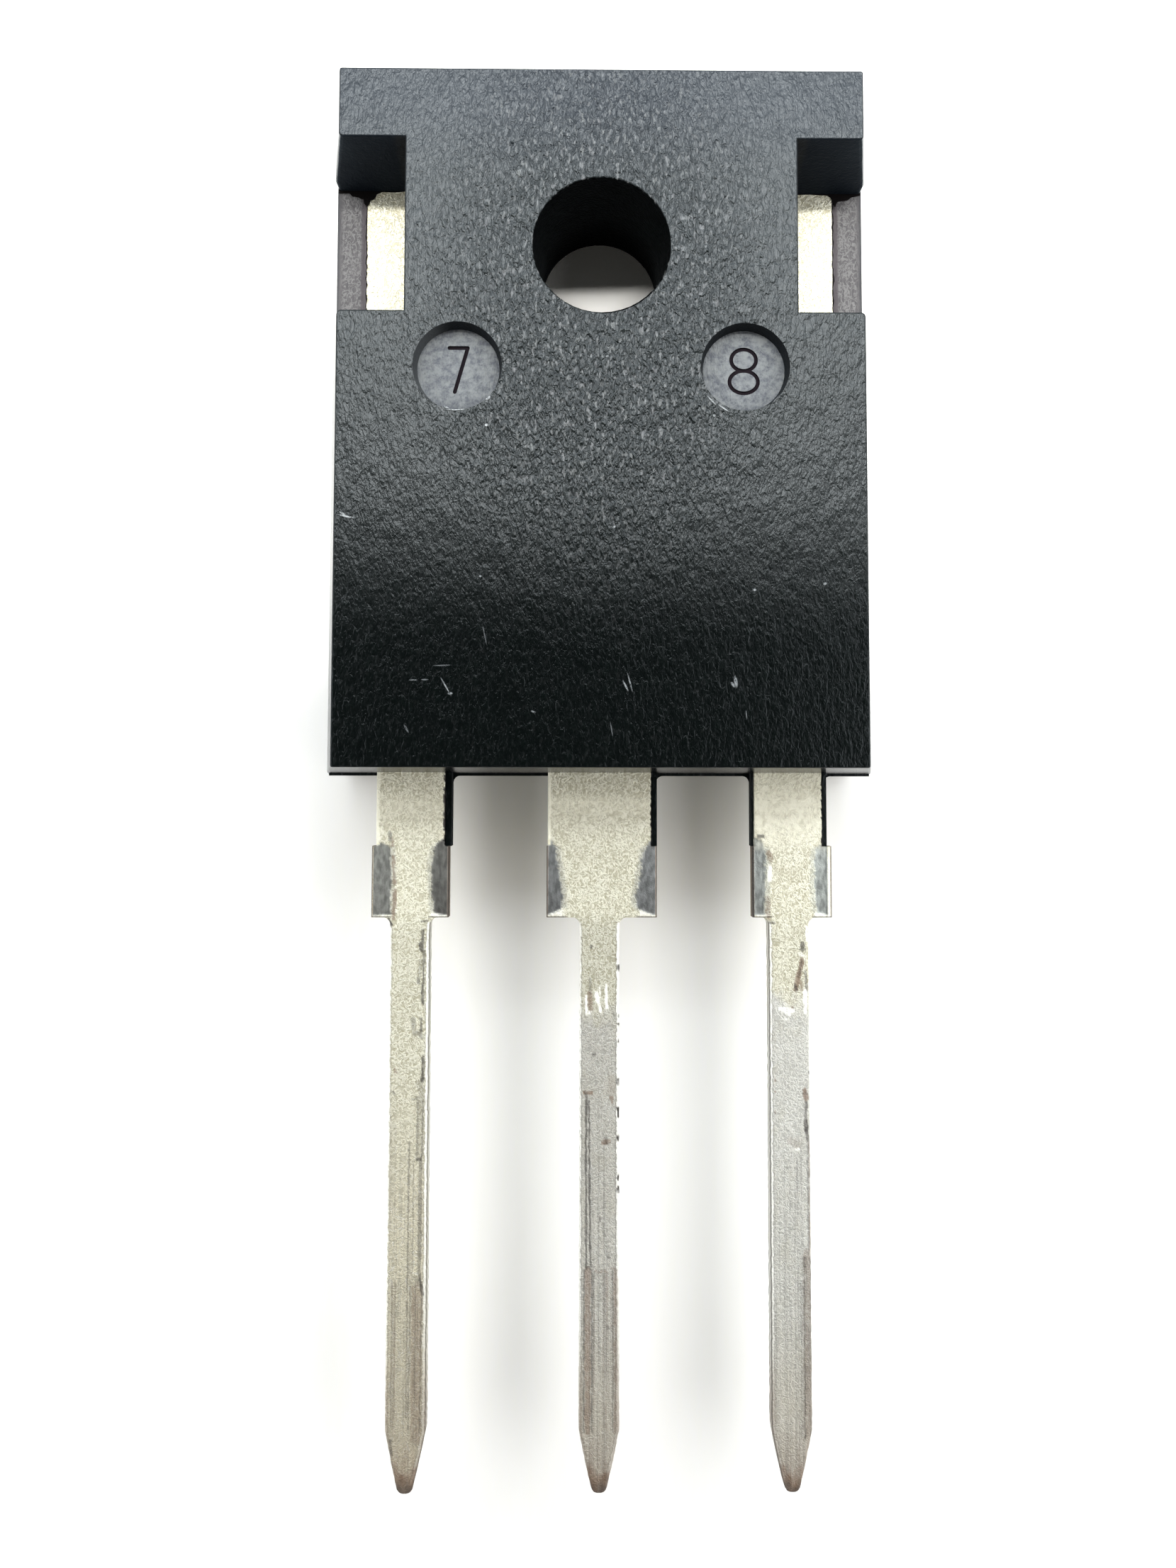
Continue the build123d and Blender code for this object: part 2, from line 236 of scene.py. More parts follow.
# ---------------------------------------------------------------------------
# Materials
# ---------------------------------------------------------------------------
# Scars on the front of the body: x, y, length, width, turn in degrees, strength.
BODY_SCARS = (
    (-7.12, -7.8, 0.42, 0.06, -12.0, 0.95), (-7.22, -7.72, 0.18, 0.06, -30.0, 0.8),
    (-4.3, -12.55, 0.5, 0.04, -60.0, 0.75), (-4.18, -12.74, 0.12, 0.07, 0.0, 0.8),
    (-4.4, -11.96, 0.45, 0.03, 2.0, 0.3), (-5.2, -12.37, 0.2, 0.04, 0.0, 0.35),
    (-4.88, -12.36, 0.18, 0.04, 0.0, 0.35), (0.68, -12.52, 0.3, 0.05, -64.0, 0.75),
    (0.8, -12.42, 0.46, 0.04, -75.0, 0.7), (3.74, -12.4, 0.3, 0.09, -82.0, 0.7),
    (3.66, -12.48, 0.16, 0.07, -60.0, 0.6), (0.29, -13.72, 0.36, 0.03, -80.0, 0.3),
    (4.03, -13.32, 0.22, 0.03, -85.0, 0.35), (4.28, -9.83, 0.09, 0.07, 0.0, 0.7),
    (6.25, -9.65, 0.1, 0.07, 30.0, 0.6), (-3.37, -9.47, 0.07, 0.06, 0.0, 0.55),
    (0.36, -8.07, 0.1, 0.06, 40.0, 0.8), (-1.88, -13.24, 0.12, 0.05, -20.0, 0.45),
    (-3.24, -11.1, 0.5, 0.03, -78.0, 0.25), (-5.38, -13.72, 0.24, 0.05, -62.0, 0.25),
    (-3.23, -5.2, 0.09, 0.09, 0.0, 0.9), (0.16, -3.22, 0.09, 0.06, 20.0, 0.6),
    (-3.2, -4.42, 0.17, 0.11, 28.0, 1.0), (-4.36, -4.61, 0.26, 0.07, -38.0, 0.75),
    (-4.08, -4.76, 0.52, 0.06, 2.0, 0.85), (3.1, -4.47, 0.36, 0.05, -46.0, 0.7),
    (3.44, -4.69, 0.34, 0.05, -34.0, 0.75), (3.17, -4.9, 0.08, 0.08, 0.0, 0.6),
    (4.92, -4.4, 0.3, 0.04, 52.0, 0.35),
)

COMPOUND_ROUGH = 0.30
COMPOUND_LEVEL = 0.28
GRAIN_DEPTH = 0.058


def compound_material():
    """Black moulding compound: spark-eroded grain, smoother ejector marks, rough grey skirts."""
    g = Graph("moulding_compound")
    place, x, y, z = g.place()
    side = g.math("ABSOLUTE", x)
    normal = g.node("ShaderNodeTexCoord").outputs["Normal"]
    facing = g.node("ShaderNodeSeparateXYZ", Vector=normal)
    flat = g.ramp(facing.outputs[2], 0.75, 0.95)
    sideways = g.ramp(g.math("ABSOLUTE", facing.outputs[0]), 0.5, 0.8)
    endways = g.ramp(g.math("ABSOLUTE", facing.outputs[1]), 0.5, 0.8)

    grain = g.noise(place, (0.11, 0.26, 0.11), detail=2, rough=0.6, warp=0.6)
    broad = g.noise(place, (0.5, 0.8, 0.5), detail=3)
    fine = g.noise(place, (0.045, 0.09, 0.045), detail=2)
    worms = g.worms(place, (0.12, 0.17, 0.12), warp=0.9, width=0.12)
    streaks = g.noise(place, (0.06, 0.5, 0.06), detail=3)
    flake = g.ramp(g.noise(place, (0.10, 0.22, 0.10), detail=1), 0.58, 0.72)
    round_hole = g.ramp(g.distance(x, g.times(g.add(y, 1.6), 0.6)), 6.2, 2.2)

    front = g.ramp(z, BODY_FRONT - 0.06, BODY_FRONT - 0.01)
    skirt = g.both(g.near(z, TAB_TOP, 0.07), g.ramp(side, 6.98, 7.02), flat)
    in_recess = g.both(g.near(side, RECESS_X, 1.3), g.near(y, RECESS_Y, 1.3))
    floor = g.both(g.near(z, RECESS_FLOOR, 0.02), in_recess, flat)
    # painted light: the left recess's wall that faces right is painted a lighter grey, as if lit
    # from the right
    painted_lit_recess_wall = g.both(in_recess, g.ramp(x, 0.0, -0.1), g.ramp(facing.outputs[0], 0.1, 0.6))
    steep = g.ramp(flat, 0.6, 0.2)
    # painted shade: the screw hole's bore is made near black
    painted_dark_bore = g.both(g.ramp(g.distance(x, y), HOLE_REACH + 0.1, HOLE_REACH), steep)
    faces_leads = g.ramp(facing.outputs[1], -0.4, -0.8)
    notch = g.both(faces_leads, g.ramp(side, 5.8, 6.0), g.ramp(y, 1.8, 2.0))
    engraved = g.ramp(z, RECESS_FLOOR - 0.015, RECESS_FLOOR - 0.035)
    groove = g.both(engraved, g.ramp(z, 4.3, 4.4), in_recess)
    at_ends = g.max(g.ramp(y, BODY_END + 0.26, BODY_END + 0.22), g.ramp(y, 4.8, 4.9))
    outer_wall = g.max(g.both(sideways, g.ramp(side, 7.2, 7.3)), g.both(endways, at_ends))
    scars = g.both(g.flecks(place, BODY_SCARS), g.ramp(z, 4.2, 4.3), g.ramp(fine, 0.25, 0.5))

    dark = g.mix(flat, rgb(0.0002, 0.0007, 0.0013), rgb(0.0001, 0.0010, 0.0007))
    worn = g.mix(flat, rgb(0.0030, 0.0050, 0.0075), rgb(0.0008, 0.0023, 0.0017))
    # Painted light and reflection on the notches' end walls: bluish, and lighter towards the top
    # and the outer side.
    painted_light_near_top = g.both(g.ramp(side, 6.9, 7.8), g.ramp(z, 3.2, 5.0), 0.8)
    notch_painted_reflection = g.mix(painted_light_near_top, rgb(0.0005, 0.0030, 0.0070), rgb(0.012, 0.018, 0.024))
    # The pale flecks are the compound's filler; crowding them round the hole is a painted glint of
    # the key lamp there.
    fleck_and_glint = g.both(flake, g.blend(round_hole, 0.06, 1.0), front)
    fleck_and_glint_colour = g.mix(broad, rgb(0.082, 0.080, 0.087), rgb(0.068, 0.074, 0.068))
    skirt_colour = g.coats(
        g.mix(streaks, rgb(0.050, 0.046, 0.049), rgb(0.125, 0.119, 0.119)),
        (g.both(worms, g.near(side, 7.5, 0.3), 0.55), rgb(0.22, 0.215, 0.21)),
        # painted shadow of the step along the tab's edge; the skirt is also made darker at its
        # outer edge
        (g.times(g.near(side, TAB_SIDE + 0.08, 0.09), 0.5), rgb(0.050, 0.036, 0.042)),
        (g.ramp(side, 7.84, 7.95, 0.0, 0.6), rgb(0.020, 0.022, 0.026)),
    )
    mottled = g.ramp(g.noise(place, (0.22, 0.18, 0.2), detail=4, rough=0.65), 0.35, 0.65)
    floor_colour = g.mix(mottled, rgb(0.070, 0.075, 0.087), rgb(0.144, 0.152, 0.157))
    floor_colour = g.mix(g.times(worms, 0.3), floor_colour, rgb(0.18, 0.19, 0.185))
    colour = g.coats(
        g.mix(g.ramp(grain, 0.45, 0.75), dark, worn),
        # painted reflection: the front above the hole is tinted bluer, for the bluish light it
        # reflects
        (g.both(flat, g.ramp(y, 1.5, 4.5)), rgb(0.0020, 0.0036, 0.0070)),
        (painted_dark_bore, rgb(0, 0.0002, 0.0002)),
        (notch, notch_painted_reflection),
        (painted_lit_recess_wall, rgb(0.045, 0.048, 0.050)),
        (fleck_and_glint, fleck_and_glint_colour),
        (skirt, skirt_colour),
        (floor, floor_colour),
        # painted shade: the engraved numerals' grooves are made dark
        (groove, rgb(0.006, 0.003, 0.005)),
        (scars, rgb(0.34, 0.36, 0.37)),
    )

    roughness = g.blend(fine, COMPOUND_ROUGH - 0.04, COMPOUND_ROUGH + 0.04)
    roughness = g.blend(flat, g.blend(outer_wall, 0.85, 0.22), roughness)
    smeared = g.max(floor, g.max(painted_lit_recess_wall, painted_dark_bore))
    for mask, level in ((skirt, 0.8), (smeared, 0.75), (groove, 1.0), (scars, 0.7)):
        roughness = g.blend(mask, roughness, level)
    height = g.add(g.times(grain, g.blend(round_hole, 0.4, 1.0)), g.times(fine, 0.12))
    height = g.add(height, g.times(broad, 0.5))
    height = g.add(height, g.times(scars, 0.6))
    height = g.times(height, g.blend(outer_wall, 1.0, 0.15))
    grained = g.bump(height, GRAIN_DEPTH)
    # Metallic with a black colour in the bore, and in part on the notches' end walls: painted shade
    # that takes away their reflections.
    metallic = g.max(g.times(painted_dark_bore, 0.85), g.times(notch, 0.4))
    made = g.surface(colour, roughness, metallic, grained, level=COMPOUND_LEVEL)
    g.shader.inputs["Specular Tint"].default_value = rgb(0.87, 0.945, 1.0)
    return made


TIN_METALLIC = 0.55              # the plate is matt, so much of its light is scattered

# How each lead's plate looks. Warm tin turns to the cool colour between the two places in
# cool_from, wide and drawn are the brightness above and below the dam bar's foot, rise is the
# brightness of the lower end against the upper one, and slate is the coined patches' colour.
TIN_LOOKS = {
    "gate_lead": {
        "cool_from": (-22.5, -28.0), "cool": (0.74, 0.69, 0.53), "rise": 1.0,
        "wide": 0.98, "drawn": 0.86, "slate": (0.35, 0.355, 0.325),
    },
    "heat_tab": {
        "cool_from": (-21.3, -22.4), "cool": (0.66, 0.64, 0.57), "rise": 1.15,
        "wide": 0.89, "drawn": 0.71, "slate": (0.29, 0.30, 0.295),
    },
    "drain_lead": {
        "cool_from": (-21.0, -21.9), "cool": (0.695, 0.685, 0.625), "rise": 0.99,
        "wide": 0.94, "drawn": 0.84, "slate": (0.42, 0.445, 0.42),
    },
}


def tin_material(name, look):
    """Matt tin plate on copper: warm near the body, cooler below, with the worn marks and the
    painted light of the blade on top.

    The blade's attribute holds dark scratches and painted shade lines in red, bright nicks,
    painted highlights and glints in green, bare brown copper in blue and the coined patches in
    alpha.
    """
    g = Graph(name)
    place, x, y, z = g.place()
    wear_and_light = g.node("ShaderNodeAttribute", {"attribute_name": "wear_and_light"})
    parts = g.node("ShaderNodeSeparateColor", Color=wear_and_light.outputs["Color"])
    dark, bright, brown = parts.outputs[0], parts.outputs[1], parts.outputs[2]
    coined = wear_and_light.outputs["Alpha"]

    worms = g.worms(place, (0.13, 0.15, 0.13), warp=1.1, width=0.13)
    grains = g.ramp(g.noise(place, (0.07, 0.07, 0.07), detail=1), 0.3, 0.7)
    light = g.math("ADD", g.times(worms, 0.65), g.times(grains, 0.35), clamp=True)
    blotch = g.noise(place, (0.35, 0.6, 0.35), detail=3)
    brushed = g.noise(place, (0.05, 2.6, 0.05), detail=3, rough=0.6)
    branches = g.worms(place, (0.33, 0.4, 0.33), warp=1.6, width=0.035)

    warm_until, cool_below = look["cool_from"]
    cool = g.ramp(g.add(y, g.times(g.take(blotch, 0.5), 1.6)), warm_until, cool_below)
    low = [0.84 * part for part in look["cool"]]
    high = [min(1.0, 1.20 * part) for part in look["cool"]]
    warm_tin = g.mix(light, rgb(0.54, 0.505, 0.360), rgb(1.0, 0.98, 0.83))
    cool_tin = g.mix(light, rgb(*low), rgb(*high))
    brush_marks = g.times(g.ramp(brushed, 0.5, 0.75), g.times(cool, 0.25))
    colour = g.coats(
        g.mix(cool, warm_tin, cool_tin),
        (g.times(g.ramp(blotch, 0.45, 0.75), 0.22), rgb(0.60, 0.56, 0.42)),
        (brush_marks, rgb(0.40, 0.37, 0.32)),
        (g.both(branches, cool, 0.4), rgb(0.95, 0.95, 0.90)),
    )
    below = g.ramp(y, DAMBAR_FOOT + 0.3, DAMBAR_FOOT - 0.5)
    level = g.blend(below, look["wide"], look["drawn"])
    level = g.times(level, g.ramp(y, -22.0, -31.0, 1.0, look["rise"]))
    # painted light: the tab in the notches is made 4% brighter than the rest of the plate
    level = g.times(level, g.ramp(y, -3.0, -2.0, 1.0, 1.04))
    scaled = g.vector("SCALE", colour, Scale=level)
    turned = g.ramp(g.add(y, g.times(g.take(blotch, 0.5), 1.5)), -29.5, -33.0)
    deep = [0.68 * part for part in look["slate"]]
    pale = [1.32 * part for part in look["slate"]]
    mottled = g.noise(place, (0.12, 0.3, 0.12), detail=3)
    slate = g.mix(g.ramp(mottled, 0.3, 0.7), rgb(*deep), rgb(*pale))
    # The bright layer's colour, warmer beside the body: real nicks, and painted highlights and
    # glints.
    near_body = g.ramp(y, BODY_END - 2.6, BODY_END - 2.2)
    nick_and_glint_colour = g.mix(near_body, rgb(1.0, 0.985, 0.92), rgb(1.0, 0.975, 0.80))
    colour = g.coats(
        scaled.outputs[0],
        (g.times(turned, 0.35), rgb(0.50, 0.44, 0.33)),
        (coined, slate),
        (bright, nick_and_glint_colour),
        (brown, rgb(0.23, 0.150, 0.100)),
        (dark, rgb(0.060, 0.053, 0.048)),
    )

    roughness = g.blend(light, 0.62, 0.54)
    roughness = g.blend(coined, roughness, 0.5)
    roughness = g.blend(bright, roughness, 0.8)
    metallic = g.blend(bright, TIN_METALLIC, 0.0)
    metallic = g.blend(coined, metallic, 0.9)
    height = g.add(light, g.times(brushed, g.times(cool, 0.5)))
    height = g.times(height, g.take(1.0, g.times(coined, 0.75)))
    return g.surface(colour, roughness, metallic, g.bump(height, 0.012))


def wire_material():
    g = Graph("aluminium_wire")
    place = g.place()[0]
    lines = g.noise(place, (0.03, 0.4, 0.03), detail=2)
    colour = g.mix(lines, rgb(0.72, 0.73, 0.74), rgb(0.86, 0.87, 0.88))
    return g.surface(colour, g.blend(lines, 0.28, 0.42), 1.0, g.bump(lines, 0.004))


def silicon_material():
    g = Graph("silicon_chip")
    place = g.place()[0]
    checks = g.node("ShaderNodeTexChecker", Vector=g.stretch(place, (0.12, 0.12, 5.0)), Scale=1.0)
    colour = g.mix(checks.outputs[1], rgb(0.16, 0.17, 0.19), rgb(0.24, 0.25, 0.27))
    return g.surface(colour, 0.22, 0.6, g.bump(checks.outputs[1], 0.002))


def solder_material():
    g = Graph("die_solder")
    place = g.place()[0]
    lumps = g.noise(place, (0.2, 0.2, 0.2), detail=3)
    colour = g.mix(lumps, rgb(0.42, 0.42, 0.43), rgb(0.62, 0.62, 0.62))
    return g.surface(colour, g.blend(lumps, 0.3, 0.5), 1.0, g.bump(lumps, 0.01))


FLOOR_MIDDLE = 7.0               # the object's middle lies this far towards the leads
FLOOR_FADE = (30.0, 45.0)        # the floor turns plain white between these distances from it


def floor_material():
    """Pale matt floor. What the camera and mirrors see is lifted to white, and keeps the shadow.

    Away from the object it is plain white.
    """
    g = Graph("pale_floor")
    place, x, y, z = g.place()
    away = g.ramp(g.distance(x, g.add(y, FLOOR_MIDDLE)), *FLOOR_FADE)
    path = g.node("ShaderNodeLightPath")
    seen = g.add(path.outputs["Is Camera Ray"], path.outputs["Is Glossy Ray"])
    seen = g.math("ADD", seen, path.outputs["Is Transmission Ray"], clamp=True)
    mottle = g.noise(place, (0.3, 1.2, 0.3), detail=4)
    pale = g.mix(mottle, rgb(0.78, 0.775, 0.765), rgb(0.80, 0.795, 0.785))
    lifted = g.mix(mottle, rgb(0.99, 0.98, 0.95), rgb(1.06, 1.05, 1.02))
    near = g.node("ShaderNodeBsdfDiffuse", Color=g.mix(seen, pale, lifted))
    white = g.node("ShaderNodeEmission", Color=rgb(1, 1, 1), Strength=1.0)
    shader = g.node("ShaderNodeMixShader", Fac=g.both(seen, away))
    g.tree.links.new(near.outputs[0], shader.inputs[1])
    g.tree.links.new(white.outputs[0], shader.inputs[2])
    return g.output(shader)


# ---------------------------------------------------------------------------
# Leads: a dense blade outside the body, swept along the CAD lead's own outline
# ---------------------------------------------------------------------------
BLADE_START = BODY_END + 0.34    # the blade begins inside the body
ROW_OFFSET = 0.00037             # keeps the rows off the CAD outline's own corners
TIP_GAP = 0.004                  # keeps the last row inside the CAD lead
FRONT_ROLL = 0.06                # roll-over of the punched front edges
BACK_ROLL = 0.02
FRONT_COLUMNS = 56
ROW_STEP = 0.05
SMALLEST_STEP = 0.006
EDGE_BITE = 0.016                # how deep the sheared edges of the pins are nibbled
MARK_SOFTNESS = 0.022            # how far a mark fades out
COIN_DEPTH = 0.022               # how far the coined patches lie under the plate
SCRATCH_DEPTH = 0.006
SMOOTH_BELOW = math.radians(35)  # faces that meet at less than this are shaded smooth
DRAWN_LINES = 26
PROBE_SCRATCHES = 14


class Outline:
    """The left and right edges of a CAD lead at any y."""

    def __init__(self, node):
        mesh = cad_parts[node].data
        mesh.calc_loop_triangles()
        points = np.array([v.co for v in mesh.vertices]) / MM
        corners = np.array([t.vertices for t in mesh.loop_triangles])
        triangles = points[corners]
        flat = (triangles[:, :, 2] > LEAD_BACK - 0.02).all(axis=1)
        outside = (triangles[:, :, 1].min(axis=1)) < BODY_END + 0.5
        self.triangles = triangles[flat & outside]

    def edges(self, y):
        crossings = []
        for first, second in ((0, 1), (1, 2), (2, 0)):
            a = self.triangles[:, first]
            b = self.triangles[:, second]
            cut = (a[:, 1] - y) * (b[:, 1] - y) < 0
            share = (y - a[cut, 1]) / (b[cut, 1] - a[cut, 1])
            crossings.append(a[cut, 0] + share * (b[cut, 0] - a[cut, 0]))
        found = np.concatenate(crossings)
        return found.min(), found.max()


def blade_rows(outline, seed):
    """Rows from the body to the tip, closer together where an edge jumps. The pins are nibbled."""
    end = LEAD_END + TIP_GAP
    count = int((BLADE_START - end) / ROW_STEP)
    ys = list(np.linspace(BLADE_START, end, count) + ROW_OFFSET)
    ys[-1] = end
    rows = [(y, *outline.edges(y)) for y in ys]
    nibbled = step_down(np.array(ys), DAMBAR_FOOT - 0.6, DAMBAR_FOOT - 0.3)
    bites = [EDGE_BITE * nibbled * (1 + wobble(np.array(ys), seed + extra, 0.11)) / 2
             for extra in (61, 62)]
    rows = [(y, left + a, right - b) for (y, left, right), a, b in zip(rows, *bites)]
    index = 0
    while index < len(rows) - 1:
        upper, lower = rows[index], rows[index + 1]
        jump = max(abs(upper[1] - lower[1]), abs(upper[2] - lower[2]))
        if jump > 0.05 and upper[0] - lower[0] > SMALLEST_STEP:
            middle = (upper[0] + lower[0]) / 2
            rows.insert(index + 1, (middle, *outline.edges(middle)))
        else:
            index += 1
    return rows


def ring_section(left, right):
    """Points round the blade's section, clockwise from the front's left end, as (x, z) offsets."""
    roll = min(FRONT_ROLL, (right - left) * 0.3)
    small = min(BACK_ROLL, (right - left) * 0.1)
    roll_end = LEAD_FRONT - roll
    side = []                    # from front to back, as (distance in from the side, z)
    for step in (1, 2, 3, 4):
        turn = math.radians(22.5 * step)
        side.append((roll - roll * math.sin(turn), roll_end + roll * math.cos(turn)))
    for share in (0.3, 0.6, 0.85):
        side.append((0.0, roll_end - share * (roll_end - LEAD_BACK - small)))
    side += [(0.0, LEAD_BACK + small), (small, LEAD_BACK)]
    ring = [(x, LEAD_FRONT) for x in np.linspace(left + roll, right - roll, FRONT_COLUMNS)]
    ring += [(right - inset, z) for inset, z in side]
    for share in (0.2, 0.4, 0.6, 0.8):
        ring.append((right - small - share * (right - left - 2 * small), LEAD_BACK))
    return ring + [(left + inset, z) for inset, z in reversed(side)]


def step_down(value, full, none):
    """1 where value is below full, 0 above none, smooth between."""
    t = np.clip((value - none) / (full - none), 0, 1)
    return t * t * (3 - 2 * t)


def stroke(x, y, start, end, width):
    """A mark along a straight line: 1 on it, 0 a little outside its width."""
    start, end = np.array(start), np.array(end)
    along = end - start
    length = max(float(along @ along), 1e-9)
    share = np.clip(((x - start[0]) * along[0] + (y - start[1]) * along[1]) / length, 0, 1)
    distance = np.hypot(x - start[0] - share * along[0], y - start[1] - share * along[1])
    return step_down(distance, width / 2, width / 2 + MARK_SOFTNESS)


def wobble(values, seed, size):
    """Smooth seeded noise between -1 and 1 along one coordinate."""
    rng = np.random.default_rng(seed)
    knots = rng.uniform(-1, 1, 400)
    place = (values - values.min()) / size
    whole = np.floor(place).astype(int) % 399
    part = place - np.floor(place)
    part = part * part * (3 - 2 * part)
    return knots[whole] * (1 - part) + knots[whole + 1] * part


def patchy(x, y, seed, size_x, size_y):
    """Smooth seeded noise between 0 and 1 over the front."""
    knots = np.random.default_rng(seed).uniform(0, 1, (64, 1024))
    across = (x + 10) / size_x
    down = (y + 50) / size_y
    column = np.floor(across).astype(int)
    row = np.floor(down).astype(int)
    across = across - column
    down = down - row
    across = across * across * (3 - 2 * across)
    down = down * down * (3 - 2 * down)

    def knot(right, below):
        return knots[(column + right) % 64, (row + below) % 1024]

    first, second = (knot(0, below) * (1 - across) + knot(1, below) * across for below in (0, 1))
    return first * (1 - down) + second * down


